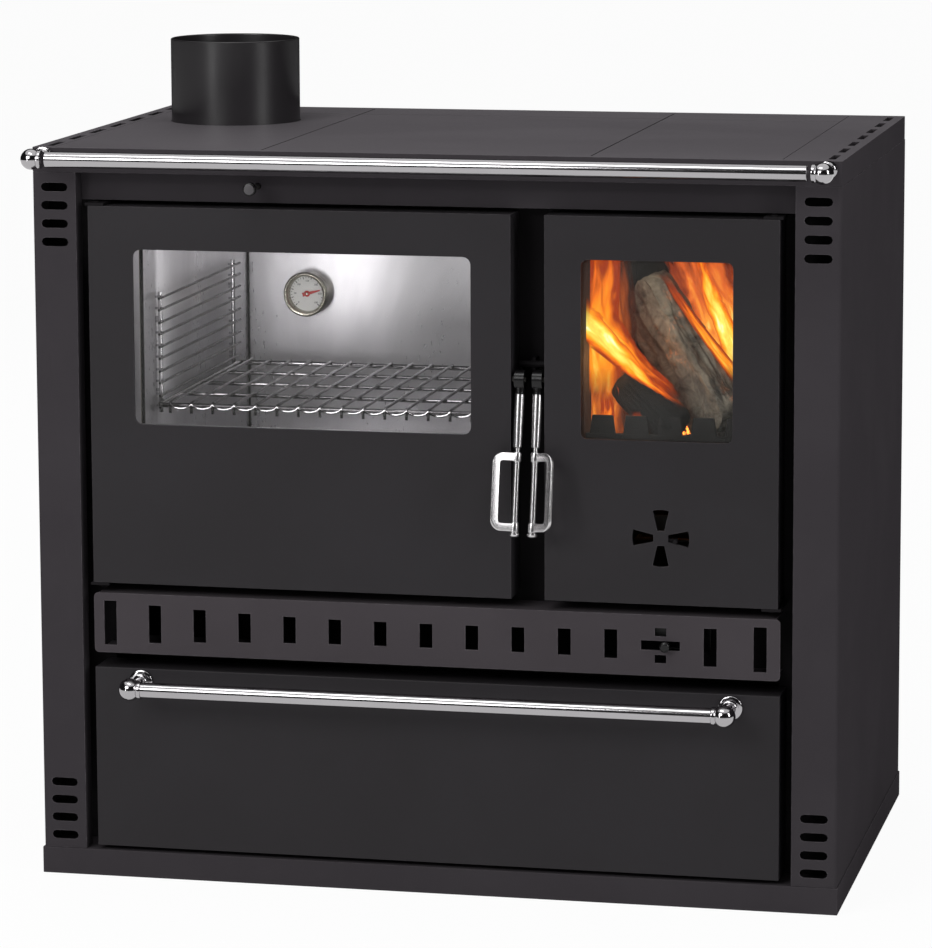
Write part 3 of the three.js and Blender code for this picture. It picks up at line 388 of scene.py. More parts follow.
def dark_sheet():
    return grained("dark_sheet", rgb(16, 15, 16), rgb(22, 21, 22), share=0.5, roughness=0.6, spread=0.15,
                   size=1200.0, bump=0.2, worn_and_lit_edge=rgb(50, 48, 50), wear_and_highlight=0.3)


def plain_steel():
    return grained("plain_steel", rgb(92, 90, 88), rgb(60, 57, 54), share=0.5, roughness=0.42, spread=0.2,
                   size=900.0, bump=0.2, worn_and_lit_edge=rgb(150, 148, 146), wear_and_highlight=0.5, Metallic=0.8)


def cast_iron():
    return grained("cast_iron", rgb(30, 28, 27), rgb(50, 44, 40), share=0.6, roughness=0.78, spread=0.15,
                   size=420.0, bump=0.8, worn_and_lit_edge=rgb(84, 78, 74), wear_and_highlight=0.5, Metallic=0.3)


def bright_chrome():
    return grained("bright_chrome", rgb(176, 174, 176), rgb(158, 155, 158), share=0.3, roughness=0.12,
                   spread=0.06, size=260.0, bump=0.01, Metallic=1.0)


def oven_steel():
    return grained("oven_steel", rgb(196, 194, 197), rgb(150, 147, 150), share=0.6, roughness=0.3, spread=0.14,
                   size=300.0, bump=0.03, stretch=(1, 1, 0.3), Metallic=0.75)


def rack_chrome():
    return grained("rack_chrome", rgb(118, 116, 118), rgb(46, 44, 46), share=1.0, roughness=0.16, spread=0.14,
                   size=300.0, bump=0.05, Metallic=1.0)


def wire_black():
    return grained("wire_black", rgb(52, 50, 52), rgb(30, 28, 30), share=1.0, roughness=0.2, spread=0.14,
                   size=300.0, bump=0.05, Metallic=1.0)


def polished_steel():
    return grained("polished_steel", rgb(206, 204, 205), rgb(186, 183, 185), share=0.3, roughness=0.26,
                   spread=0.06, size=260.0, bump=0.01, Metallic=1.0)


def bezel_steel():
    return grained("bezel_steel", rgb(168, 164, 152), rgb(120, 117, 108), share=0.5, roughness=0.24, spread=0.1,
                   size=260.0, bump=0.02, Metallic=1.0)


def refractory():
    return grained("refractory", rgb(38, 32, 28), rgb(14, 12, 11), share=1.0, roughness=0.95, spread=0.05,
                   size=300.0, bump=0.9, worn_and_lit_edge=rgb(110, 96, 82), wear_and_highlight=0.4)


def black_knob():
    return grained("black_knob", rgb(13, 12, 13), rgb(18, 17, 18), share=0.4, roughness=0.24, spread=0.1,
                   size=1400.0, bump=0.05, worn_and_lit_edge=rgb(50, 48, 50), wear_and_highlight=0.3, Specular_IOR_Level=0.3)


def knob_face():
    return grained("knob_face", rgb(66, 63, 66), rgb(52, 49, 52), share=0.5, roughness=0.45, spread=0.1,
                   size=1400.0, bump=0.1)


# Near-black: painted shade on the front frame, the door liners and the hob plates' edges, which show only in
# the gaps and seams; also the black of the hinge rods and the air rosette.
def gap_shade_and_black():
    return grained("gap_shade_and_black", rgb(20, 18, 20), rgb(26, 24, 26), share=0.5, roughness=0.7, spread=0.15,
                   size=1200.0, bump=0.2, worn_and_lit_edge=rgb(32, 30, 32), wear_and_highlight=0.3, Specular_IOR_Level=0.1)


def rope():
    """Woven glass-fibre rope: diagonal strands."""
    material, tree, shader = new_finish("woven_rope", Roughness=0.95)
    weave = node(tree, "TexWave", wave_type="BANDS", bands_direction="DIAGONAL", Vector=object_place(tree),
                 Scale=110.0, Distortion=1.5, Detail=2.0).outputs["Fac"]
    dress(tree, shader, Base_Color=blended(tree, weave, rgb(58, 55, 50), rgb(132, 128, 118)),
          Normal=bumped(tree, weave, 0.8, 0.001))
    return material


def clear_glass():
    """Ceramic glass, with a slight haze of soot in patches."""
    material, tree, shader = new_finish("clear_glass", Base_Color=rgb(150, 150, 146), Roughness=0.04, IOR=1.5)
    haze = noisy(tree, object_place(tree), Scale=9.0, Detail=5.0)
    dress(tree, shader, Alpha=ranged(tree, haze, 0.3, 0.8, 0.02, 0.05))
    return material


def dial_white():
    return grained("dial_white", rgb(240, 239, 236), rgb(226, 224, 220), share=0.4, roughness=0.45, spread=0.1,
                   size=1500.0, bump=0.05)


def dial_black():
    return grained("dial_black", rgb(26, 26, 28), rgb(36, 36, 38), share=0.4, roughness=0.5, spread=0.1,
                   size=1500.0, bump=0.05)


def pointer_red():
    return grained("pointer_red", rgb(196, 34, 24), rgb(170, 26, 20), share=0.4, roughness=0.4, spread=0.1,
                   size=1500.0, bump=0.05)


def glowing(name, dark, pale, ember, crack, strength, size, spread):
    """Burnt wood or ash: dark and pale patches in a rough skin, with glowing cracks."""
    material, tree, shader = new_finish(name, Roughness=0.95, Emission_Strength=strength)
    place = object_place(tree)
    skin = node(tree, "TexNoise", Vector=place, Scale=size, Detail=10.0, Roughness=0.7, Distortion=0.6).outputs
    bent = node(tree, "Mix", data_type="VECTOR")
    fed_by_place(tree, bent, ((0, 0.06), (4, place), (5, skin["Color"])))
    split = node(tree, "TexVoronoi", feature="DISTANCE_TO_EDGE", Vector=bent.outputs[1], Scale=size * 1.6)
    where = ranged(tree, noisy(tree, place, Scale=14.0, Detail=3.0), spread - 0.06, spread + 0.06)
    lit = computed(tree, "MULTIPLY", ranged(tree, split.outputs["Distance"], crack, 0.0), where)
    dress(tree, shader, Base_Color=ramped(tree, skin["Fac"], ((0.36, dark), (0.62, pale))),
          Emission_Color=blended(tree, lit, BLACK, ember), Normal=bumped(tree, skin["Fac"], 0.9, 0.004))
    return material


def flame_light(name, tongues, strength, colours, solid):
    """Flame on a curved sheet: solid low down, torn towards its tip and edges, cool to hot in colour."""
    material, tree, shader = new_finish(name, Base_Color=BLACK, Roughness=1.0, Specular_IOR_Level=0.0,
                                        Emission_Strength=strength)
    sheet = node(tree, "UVMap", uv_map="sheet").outputs["UV"]
    across, along = node(tree, "SeparateXYZ", Vector=sheet).outputs[:2]
    drawn = node(tree, "Mapping", Vector=sheet, Scale=(tongues, 1.9, 1.0)).outputs["Vector"]
    torn = noisy(tree, drawn, Scale=2.6, Detail=6.0, Roughness=0.55, Distortion=0.7)
    inside = ranged(tree, computed(tree, "PINGPONG", across, 0.5), 0.0, 0.3)
    body = computed(tree, "MULTIPLY", inside, ranged(tree, along, 1.0, 0.35))
    heat = computed(tree, "MULTIPLY_ADD", torn, 1.5, body)
    ends = computed(tree, "MULTIPLY", ranged(tree, along, 0.0, 0.16), ranged(tree, along, 1.0, 0.8))
    cover = computed(tree, "MULTIPLY", ranged(tree, heat, solid, solid + 0.2), ends)
    tint = ramped(tree, ranged(tree, heat, 1.0, 2.0), list(zip((0.0, 0.4, 0.75, 1.0), colours)))
    dress(tree, shader, Emission_Color=tint, Alpha=cover)
    return material


FINISH = {
    "casing_paint": casing_enamel(), "door_paint": door_enamel(), "hob_steel": satin_hob(),
    "black_iron": dark_sheet(), "chrome_trim": bright_chrome(), "stainless": oven_steel(),
    "firebrick": refractory(), "door_glass": clear_glass(), "rope_seal": rope(), "black_knob": black_knob(),
    "pointer_red": pointer_red(),
}
IRON, STEEL, FLUE, RACK = cast_iron(), plain_steel(), flue_enamel(), rack_chrome()
WIRE, GRIP_METAL, BEZEL, BAND = wire_black(), polished_steel(), bezel_steel(), band_enamel()
DIAL, INK, KNOB_FACE, GAP_SHADE_AND_BLACK = dial_white(), dial_black(), knob_face(), gap_shade_and_black()


# ---------------- making pieces
def finished(name, bm, body, slot, material=None, stands_for=(), smooth=35, bevel=0.0, segments=2):
    """Makes a piece that rides on a body, in its slot's finish if no other is given."""
    mesh = bpy.data.meshes.new(name)
    bm.to_mesh(mesh)
    bm.free()
    mesh.materials.append(material or FINISH[slot])
    mesh.shade_smooth()
    mesh.set_sharp_from_angle(angle=math.radians(smooth))
    piece = bpy.data.objects.new(name, mesh)
    scene.collection.objects.link(piece)
    if bevel:
        ease = piece.modifiers.new("eased_edges", "BEVEL")
        ease.width, ease.segments, ease.limit_method = bevel, segments, "ANGLE"
        ease.angle_limit, ease.harden_normals = math.radians(40), True
    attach(piece, body)
    if stands_for:
        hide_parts(*stands_for)
    return piece


def eased(cad_node, material=None, bevel=0.6 * MM, segments=2):
    """A copy of a CAD sheet or block with its edges eased, which stands for it."""
    bm = bmesh.new()
    bm.from_mesh(frame["nodes"][cad_node].data)
    bmesh.ops.remove_doubles(bm, verts=bm.verts, dist=0.00001)
    bmesh.ops.dissolve_limit(bm, angle_limit=math.radians(0.6), verts=bm.verts, edges=bm.edges)
    return finished(cad_node + "_dressed", bm, BODY_OF[cad_node], SLOT_OF[cad_node], material, (cad_node,),
                    bevel=bevel, segments=segments)


def faces_up_in(piece, material, sides):
    """The faces of a piece that look up take one finish, its sides another."""
    piece.data.materials[0] = sides
    piece.data.materials.append(material)
    for face in piece.data.polygons:
        face.material_index = 1 if face.normal.z > 0.7 else 0


def bright_collar(liner):
    """The part of the oven door's liner round its window is left bright; the rest of the liner keeps its
    near-black painted gap shade.
    """
    low, high = corners("oven_door_glass")
    edge = 6 * MM
    liner.data.materials.append(FINISH["stainless"])
    for face in liner.data.polygons:
        if low.x - edge < face.center.x < high.x + edge and low.z - edge < face.center.z < high.z + edge:
            face.material_index = 1


def turn(bm, base, along, profile, steps=64):
    """Spins a profile of (radius, distance along) pairs round an axis through a point."""
    along = along.normalized()
    side = along.orthogonal().normalized()
    points = [bm.verts.new(base + along * reach + side * radius) for radius, reach in profile]
    edges = [bm.edges.new(pair) for pair in zip(points, points[1:])]
    before = set(bm.faces)
    bmesh.ops.spin(bm, geom=points + edges, cent=base, axis=along, angle=FULL_TURN, steps=steps, use_merge=True)
    bmesh.ops.remove_doubles(bm, verts=bm.verts, dist=0.000005)
    bmesh.ops.recalc_face_normals(bm, faces=[face for face in bm.faces if face not in before])


def arc(centre, radius, start, end, count):
    """Points of a profile along an arc, its angles in degrees from straight outwards."""
    angles = [math.radians(start + (end - start) * i / count) for i in range(count + 1)]
    return [(centre[0] + radius * math.cos(a), centre[1] + radius * math.sin(a)) for a in angles]


def edges_of(verts):
    return list({edge for vert in verts for edge in vert.link_edges})


def swept(bm, edges, moves, ends=True, bend_step=15):
    """Draws an outline along ("run", way) and ("bend", centre, axis, degrees), and closes both its ends."""
    rims = [edges]
    for kind, *how in moves:
        if kind == "run":
            grown = bmesh.ops.extrude_edge_only(bm, edges=edges)["geom"]
            tips = {item for item in grown if isinstance(item, bmesh.types.BMVert)}
            bmesh.ops.translate(bm, verts=list(tips), vec=how[0])
            edges = [edge for edge in edges_of(tips) if tips.issuperset(edge.verts)]
        else:
            centre, axis, degrees = how
            grown = bmesh.ops.spin(bm, geom=edges, cent=centre, axis=axis, angle=math.radians(degrees),
                                   steps=int(abs(degrees) / bend_step))["geom_last"]
            edges = [item for item in grown if isinstance(item, bmesh.types.BMEdge)]
    rims.append(edges)
    if ends:
        for rim in rims:
            bmesh.ops.contextual_create(bm, geom=rim)


def pipe(bm, radius, start, heading, moves, segments=10, ends=True):
    """A round wire from a point, which runs on by lengths and bends as swept outlines do."""
    place = Matrix.Translation(start) @ heading.to_track_quat("Z", "Y").to_matrix().to_4x4()
    ring = bmesh.ops.create_circle(bm, segments=segments, radius=radius, cap_ends=False, matrix=place)["verts"]
    heading = heading.normalized()
    path = []
    for kind, *how in moves:
        if kind == "run":
            path.append((kind, heading * how[0]))
        else:
            path.append((kind, *how))
            heading = Matrix.Rotation(math.radians(how[2]), 3, how[1]) @ heading
    swept(bm, edges_of(ring), path, ends)


def straight(bm, radius, start, end, segments=10):
    start, end = Vector(start), Vector(end)
    pipe(bm, radius, start, end - start, [("run", (end - start).length)], segments)


def brick(bm, middle, size, turned=Matrix()):
    """A block about its middle, for small straight pieces whose edges are eased afterwards."""
    place = Matrix.Translation(middle) @ turned @ Matrix.Diagonal((*size, 1))
    return bmesh.ops.create_cube(bm, size=1, matrix=place)["verts"]


def mm(points):
    return [(across * MM, along * MM) for across, along in points]


def set_right(bm):
    bmesh.ops.recalc_face_normals(bm, faces=bm.faces)


# ---------------- rail and drawer bar
def bar_end(bm, place, inwards, wall, ball, tube, rose):
    """A ball on a post from the front, with a rounded collar over the end of the tube."""
    collar = tube + 1.4 * MM
    neck = math.degrees(math.acos(min(1, (collar - 0.8 * MM) / ball)))
    profile = [(0, -ball)] + arc((0, 0), ball, -90, neck, 26)[1:]
    reach, lip = profile[-1][1], 1.2 * MM
    profile += arc((collar - lip, reach + 1.6 * MM), lip, -60, 0, 3)
    profile += arc((collar - lip, reach + 4.2 * MM), lip, 0, 80, 4)
    profile += [(tube - 0.6 * MM, reach + 5.4 * MM), (0, reach + 5.4 * MM)]
    turn(bm, place, inwards, profile)
    foot = Vector((place.x, wall, place.z))
    length = (foot - place).length - ball * 0.6
    shank, ease, hollow = tube * 0.66, 1.6 * MM, 4 * MM
    turn(bm, foot, -AXIS["y"], [(0, 0.3 * MM), (rose, 0.3 * MM), (rose, 2.0 * MM)]
         + arc((rose - ease, 2.0 * MM), ease, 0, 80, 5) + [(rose * 0.75, 4.4 * MM)]
         + arc((shank + hollow, 8.4 * MM), hollow, 270, 180, 6) + [(shank, length), (0, length)])


def chromed_rail():
    low, high = corners("front_rail")
    centre, radius, span, ease = (low + high) / 2, (high.y - low.y) / 2, high.x - low.x, 0.4 * MM
    bm = bmesh.new()
    turn(bm, Vector((low.x, centre.y, centre.z)), AXIS["x"],
         [(0, 0), (radius - ease, 0), (radius, ease), (radius, span - ease), (radius - ease, span), (0, span)])
    finished("front_rail_tube", bm, "stove", "chrome_trim", None, ("front_rail",))
    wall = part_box("hob_frame")[0][1]
    for side, end in ((-1, "rail_left_end"), (1, "rail_right_end")):
        foot, top = corners(end)
        ball = (top.z - foot.z) / 2
        outer = foot.x if side < 0 else top.x
        bm = bmesh.new()
        place = Vector((outer - side * ball, centre.y, centre.z))
        bar_end(bm, place, -side * AXIS["x"], wall, ball, radius, 9 * MM)
        finished(end + "_turned", bm, "stove", "chrome_trim", None, (end,))


def chromed_drawer_bar():
    low, high = corners("drawer_bar")
    ball, radius, rose = 13 * MM, 9 * MM, 14 * MM
    span = high.x - low.x - 2 * ball
    left = Vector((low.x + ball, low.y + ball, low.z + rose))
    bm = bmesh.new()
    turn(bm, left, AXIS["x"], [(0, 0), (radius, 0), (radius, span), (0, span)])
    for place, inwards in ((left, AXIS["x"]), (left + AXIS["x"] * span, -AXIS["x"])):
        bar_end(bm, place, inwards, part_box("drawer_front")[0][1], ball, radius, rose)
    finished("drawer_bar_turned", bm, "drawer", "chrome_trim", None, ("drawer_bar",))


# ---------------- levers
LEAN = math.radians(12)
GRIP = {"stem_top": 16.3, "stem_foot": 77, "rod": 3.6, "loop_top": 82, "loop_foot": 172, "reach": 31,
        "hub": 5.1, "hub_high": 11, "strap_wide": 9.5, "strap_thick": 4.4, "strap_ease": 1.1, "corner": 13}
STRAP_TURN = {-1: 218, 1: -38}


def grip_strap(bm):
    """The flat strap: from the upper hub out, down and back to the lower one."""
    size = {name: value * MM for name, value in GRIP.items()}
    half = size["strap_wide"] / 2
    top, foot = -size["loop_top"] - size["hub_high"] / 2, -size["loop_foot"] + size["hub_high"] / 2
    bend = size["corner"] - half
    limb = size["reach"] - half - bend
    ring = bmesh.ops.create_circle(bm, segments=4, radius=half * math.sqrt(2), cap_ends=False,
                                   matrix=Matrix.Rotation(math.pi / 4, 4, "Z"))["verts"]
    bmesh.ops.scale(bm, verts=ring, vec=(1, size["strap_thick"] / size["strap_wide"], 1))
    place = Matrix.Translation((0, 0, top)) @ Matrix.Rotation(math.pi / 2, 4, "Y")
    bmesh.ops.transform(bm, verts=ring, matrix=place)
    rounded = bmesh.ops.bevel(bm, geom=ring, offset=size["strap_ease"], segments=4, affect="VERTICES",
                              profile=0.5, material=-1)["verts"]
    swept(bm, edges_of(rounded), (
        ("run", Vector((limb, 0, 0))), ("bend", Vector((limb, 0, top - bend)), AXIS["y"], 90),
        ("run", Vector((0, 0, foot - top + 2 * bend))), ("bend", Vector((limb, 0, foot + bend)), AXIS["y"], 90),
        ("run", Vector((-limb, 0, 0)))), bend_step=9)


def chromed_grip(leaf, side):
    """A tapered stem, a thin rod between two hubs, a strap bent into a loop round it, and an end button."""
    size, down = GRIP, -AXIS["z"]
    high, end = size["hub_high"], size["loop_foot"]
    bm = bmesh.new()
    grip_strap(bm)
    away = Matrix.Rotation(math.radians(STRAP_TURN[side]), 3, "Z")
    bmesh.ops.rotate(bm, verts=bm.verts, cent=(0, 0, 0), matrix=away)
    neck, top, foot = size["rod"] - 0.8, size["stem_top"], size["stem_foot"]
    loop, rod, ease = size["loop_top"], size["rod"], 0.9
    turned = [mm([(0, top), (5.0, top), (5.8, top + 0.8), (5.9, 30), (5.0, foot - 0.8), (4.2, foot),
                  (neck, foot + 0.4), (neck, loop + 1), (0, loop + 1)]),
              mm([(0, loop + 2), (rod, loop + 2), (rod, end - 2), (0, end - 2)])]
    for start in (loop, end - high):
        inner = size["hub"] - ease
        turned.append(mm([(0, start)] + arc((inner, start + ease), ease, -90, 0, 4)
                         + arc((inner, start + high - ease), ease, 0, 90, 4) + [(0, start + high)]))
    turned.append(mm([(0, end - 0.2), (4.4, end - 0.2), (4.4, end + 1.0), (6.4, end + 1.6), (6.4, end + 2.8)]
                     + arc((2.4, end + 1.6), 4, 20, 90, 5)))
    for profile in turned:
        turn(bm, Vector(), down, profile, steps=40)
    place = Matrix.Translation(JOINT[leaf + "_latch_pivot"]["pos_m"]) @ Matrix.Rotation(-LEAN, 4, "X")
    bmesh.ops.transform(bm, matrix=place, verts=bm.verts)
    finished(leaf + "_grip_polished", bm, leaf + "_handle", "chrome_trim", GRIP_METAL, (leaf + "_handle_grip",))


# ---------------- flue, damper knob and thermometer
def flue_spigot():
    low, high = corners("flue_collar")
    centre = Vector(((low.x + high.x) / 2, (low.y + high.y) / 2, 0))
    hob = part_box("flue_plate")[1][2]
    outer, inner, flange = 78 * MM, 75 * MM, (high.x - low.x) / 2
    step = low.z + 4 * MM
    profile = [(inner, low.z), (flange, low.z), (flange, step), (outer, step), (outer, hob + 1 * MM),
               (outer, high.z - 1 * MM)] + arc((outer - 1.5 * MM, high.z - 1.5 * MM), 1.5 * MM, 0, 180, 8) + [
        (inner, high.z - 2 * MM), (inner, low.z)]
    bm = bmesh.new()
    turn(bm, centre, AXIS["z"], profile, steps=128)
    finished("flue_spigot", bm, "stove", "black_iron", FLUE, ("flue_collar",))


def damper_handle():
    """A turned black knob, with a paler face set in its end."""
    low, high = corners("damper_knob")
    centre = (low + high) / 2
    radius, length = (high.x - low.x) / 2 / MM, (high.y - low.y) / MM
    bm = bmesh.new()
    turn(bm, Vector((centre.x, high.y, centre.z)), -AXIS["y"], mm(
        [(0, 0), (4.3, 0), (4.6, 1), (4.6, 6.5), (radius - 1, 8)] + arc((radius - 1.2, 9.2), 1.2, -60, 0, 3)
        + arc((radius - 1.6, length - 1.8), 1.6, 0, 70, 4)
        + [(radius * 0.5, length - 0.1), (0, length)]), steps=48)
    finished("damper_knob_turned", bm, "damper", "black_knob", None, ("damper_knob",))
    bm = bmesh.new()
    inset = radius - 1.7
    turn(bm, Vector((centre.x, low.y, centre.z)), -AXIS["y"], mm(
        [(0, -1), (inset, -1), (inset, -0.25), (inset - 0.6, -0.05), (0, 0)]), steps=40)
    finished("damper_knob_face", bm, "damper", "black_knob", KNOB_FACE)


DIAL_START, DIAL_SWEEP, DIAL_MARKS = 225, 270, 27


def dial_spot(face, reach, angle):
    """A place on the dial, just in front of its face."""
    return face + Vector((math.cos(angle), 0, math.sin(angle))) * reach - AXIS["y"] * 0.4 * MM


def thermometer():
    """A chromed case, a white dial with its scale and numbers, and a red pointer."""
    low, high = corners("thermometer_case")
    radius = (high.x - low.x) / 2 / MM
    centre = Vector(((low.x + high.x) / 2, low.y, (low.z + high.z) / 2))
    depth = (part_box("oven_back")[0][1] - low.y) / MM
    recess, dial = 14, radius - 6
    into = lambda reach: centre + AXIS["y"] * reach * MM
    bm = bmesh.new()
    turn(bm, centre, AXIS["y"], mm(
        [(0, depth - 0.3), (radius - 2.4, depth - 0.3), (radius - 2.4, 5.5)]
        + arc((radius - 1.5, 3.4), 1.5, 90, -90, 8) + arc((radius - 2.4, 1.5), 1.5, 0, -100, 8)
        + [(radius - 4.4, 0.6), (radius - 5.4, 2.4), (dial, recess - 1), (dial, recess), (0, recess)]),
         steps=96)
    straight(bm, 3 * MM, into(depth - 1), into((high.y - low.y) / MM), 24)
    straight(bm, 1.2 * MM, into(recess + 0.5), into(recess - 5), 16)
    set_right(bm)
    finished("thermometer_bezel", bm, "stove", "chrome_trim", BEZEL, ("thermometer_case",))
    face = into(recess - 0.5)
    bm = bmesh.new()
    turn(bm, face, -AXIS["y"], mm([(0, 0), (dial, 0), (dial, 0.3), (0, 0.3)]), steps=64)
    finished("dial_face", bm, "stove", "pointer_red", DIAL)
    bm = bmesh.new()
    for mark in range(DIAL_MARKS + 1):
        width, length = (0.9, 2.8) if mark % 3 == 0 else (0.45, 1.6)
        angle = math.radians(DIAL_START - mark * DIAL_SWEEP / DIAL_MARKS)
        place = dial_spot(face, (dial - 0.8 - length / 2) * MM, angle)
        brick(bm, place, Vector((width, 0.15, length)) * MM, Matrix.Rotation(math.pi / 2 - angle, 4, "Y"))
    finished("dial_scale", bm, "stove", "black_knob", INK)
    numbers = ("0", "50", "100", "150", "200", "250", "300")
    for count, number in enumerate(numbers):
        angle = math.radians(DIAL_START - count * DIAL_SWEEP / (len(numbers) - 1))
        dial_number(number, dial_spot(face, (dial - 6.2) * MM, angle))
    eased("thermometer_pointer", bevel=0.15 * MM)


def dial_number(text, place):
    curve = bpy.data.curves.new("number_" + text, "FONT")
    curve.body, curve.size, curve.align_x, curve.align_y = text, 3.2 * MM, "CENTER", "CENTER"
    curve.extrude = 0.06 * MM
    source = bpy.data.objects.new("number_source", curve)
    scene.collection.objects.link(source)
    bpy.context.view_layer.update()
    mesh = bpy.data.meshes.new_from_object(source.evaluated_get(bpy.context.evaluated_depsgraph_get()))
    bpy.data.objects.remove(source)
    bm = bmesh.new()
    bm.from_mesh(mesh)
    stood = Matrix.Translation(place) @ Matrix.Rotation(math.pi / 2, 4, "X")
    bmesh.ops.transform(bm, matrix=stood, verts=bm.verts)
    finished("dial_number_" + text, bm, "stove", "black_knob", INK)


# ---------------- oven wires
LADDER = {"post": 2.5, "wire": 1.5, "levels": 5, "pitch": 28.5, "pair": 13.5, "overrun": 18, "clip": 2,
          "stub": 1.5}


def wire_ladder(side):
    name = "shelf_ladder_left" if side < 0 else "shelf_ladder_right"
    low, high = corners(name)
    wall = low.x if side < 0 else high.x
    post_x = wall - side * 5.7 * MM
    wire_x = wall - side * 9.6 * MM
    posts = (low.y + LADDER["overrun"] * MM, high.y - LADDER["overrun"] * MM)
    foot = low.z + 8 * MM
    bm = bmesh.new()
    for y in posts:
        straight(bm, LADDER["post"] * MM, (post_x, y, low.z), (post_x, y, high.z), 16)
        for up in (18, 103):
            straight(bm, LADDER["clip"] * MM, (post_x, y, foot + up * MM), (wall, y, foot + up * MM), 12)
    wires = bmesh.new()
    for level in range(LADDER["levels"]):
        for up in (0, LADDER["pair"]):
            z = foot + (level * LADDER["pitch"] + up) * MM
            straight(wires, LADDER["wire"] * MM, (wire_x, low.y, z), (wire_x, high.y, z), 14)
            for y in posts:
                straight(bm, LADDER["stub"] * MM, (wall, y, z), (wire_x - side * 1.6 * MM, y, z), 10)
    set_right(bm)
    set_right(wires)
    finished(name + "_posts", bm, "stove", "chrome_trim", None, (name,))
    finished(name + "_wires", wires, "stove", "chrome_trim", WIRE)


RACK_WIRES = {"rim": 3.0, "wire": 1.75, "stay": 2.25, "count": 15, "stays": 3, "edge": 14, "drop": 12,
              "bend": 3.5, "corner": 8, "tip_wire": 1.4, "sag": 5.0}


def wire_rack():
    """The shelf: a rim, stays across it, and wires along it that turn down over the front."""
    low, high = corners("oven_rack")
    size = {key: value * MM for key, value in RACK_WIRES.items()}
    left, right = low.x + size["rim"], high.x - size["rim"]
    wire_z = high.z - size["wire"]
    z = wire_z - size["rim"] - 0.2 * MM
    front = low.y + size["wire"]
    rim_front, rim_back = front + size["rim"] - 0.5 * MM, high.y - size["rim"]
    bm = bmesh.new()
    corner = size["corner"]
    long_way, short_way = right - left - 2 * corner, rim_back - rim_front - 2 * corner
    quarter = lambda x, y: ("bend", Vector((x, y, z)), AXIS["z"], 90)
    pipe(bm, size["rim"], Vector(((left + right) / 2, rim_front, z)), AXIS["x"], [
        ("run", long_way / 2), quarter(right - corner, rim_front + corner),
        ("run", short_way), quarter(right - corner, rim_back - corner),
        ("run", long_way), quarter(left + corner, rim_back - corner),
        ("run", short_way), quarter(left + corner, rim_front + corner), ("run", long_way / 2)], 18, ends=False)
    for stay in range(RACK_WIRES["stays"]):
        y = rim_front + (rim_back - rim_front) * (stay + 1) / (RACK_WIRES["stays"] + 1)
        straight(bm, size["stay"], (left, y, z), (right, y, z), 14)
    inside = right - left - 2 * size["edge"]
    curl = size["bend"]
    for count in range(RACK_WIRES["count"]):
        x = left + size["edge"] + inside * count / (RACK_WIRES["count"] - 1)
        pipe(bm, size["wire"], Vector((x, high.y - 1 * MM, wire_z)), -AXIS["y"], [
            ("run", high.y - 1 * MM - front - curl),
            ("bend", Vector((x, front + curl, wire_z - curl)), AXIS["x"], 90),
            ("run", size["drop"] - curl)], 12)
    bmesh.ops.remove_doubles(bm, verts=bm.verts, dist=0.00001)
    set_right(bm)
    finished("oven_rack_wire", bm, "rack", "chrome_trim", RACK, ("oven_rack",))
    rack_tip_wire(Vector((left + size["edge"], low.y + 1.5 * MM, wire_z - 1.5 * MM)), inside)


def rack_tip_wire(start, length):
    """The thin wire along the rack's front, which sags between the turned-down tips."""
    bays, steps = RACK_WIRES["count"] - 1, 8
    bm = bmesh.new()
    place = Matrix.Translation(start) @ Matrix.Rotation(math.pi / 2, 4, "Y")
    ring = bmesh.ops.create_circle(bm, segments=10, radius=RACK_WIRES["tip_wire"] * MM, cap_ends=False,
                                   matrix=place)["verts"]
    sag = RACK_WIRES["sag"] * MM
    hang = [-sag * math.sin(math.pi * (step % steps) / steps) ** 0.6 for step in range(bays * steps + 1)]
    swept(bm, edges_of(ring), [("run", Vector((length / bays / steps, 0, after - before)))
                               for before, after in zip(hang, hang[1:])])
    set_right(bm)
    finished("rack_front_wire", bm, "rack", "chrome_trim")


def oven_corner_shades():
    """Dark strips in the two back corners of the oven, where the walls meet: painted corner shade."""
    back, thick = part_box("oven_back")[0][1], 2.6 * MM
    foot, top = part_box("oven_floor")[1][2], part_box("oven_top")[0][2]
    for name, side, wall in (("left", 1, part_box("oven_left_wall")[1][0]),
                             ("right", -1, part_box("oven_right_wall")[0][0])):
        bm = bmesh.new()
        middle = (wall + side * thick / 2, back - thick / 2, (foot + top) / 2)
        brick(bm, middle, (thick, thick, top - foot - 1 * MM))
        finished("oven_corner_shade_" + name, bm, "stove", "stainless", WIRE, bevel=0.8 * MM)


# ---------------- the fire
LOG_SPLIT, LOG_EDGE, LOG_ROUGHNESS = 0.28, 7 * MM, 0.16


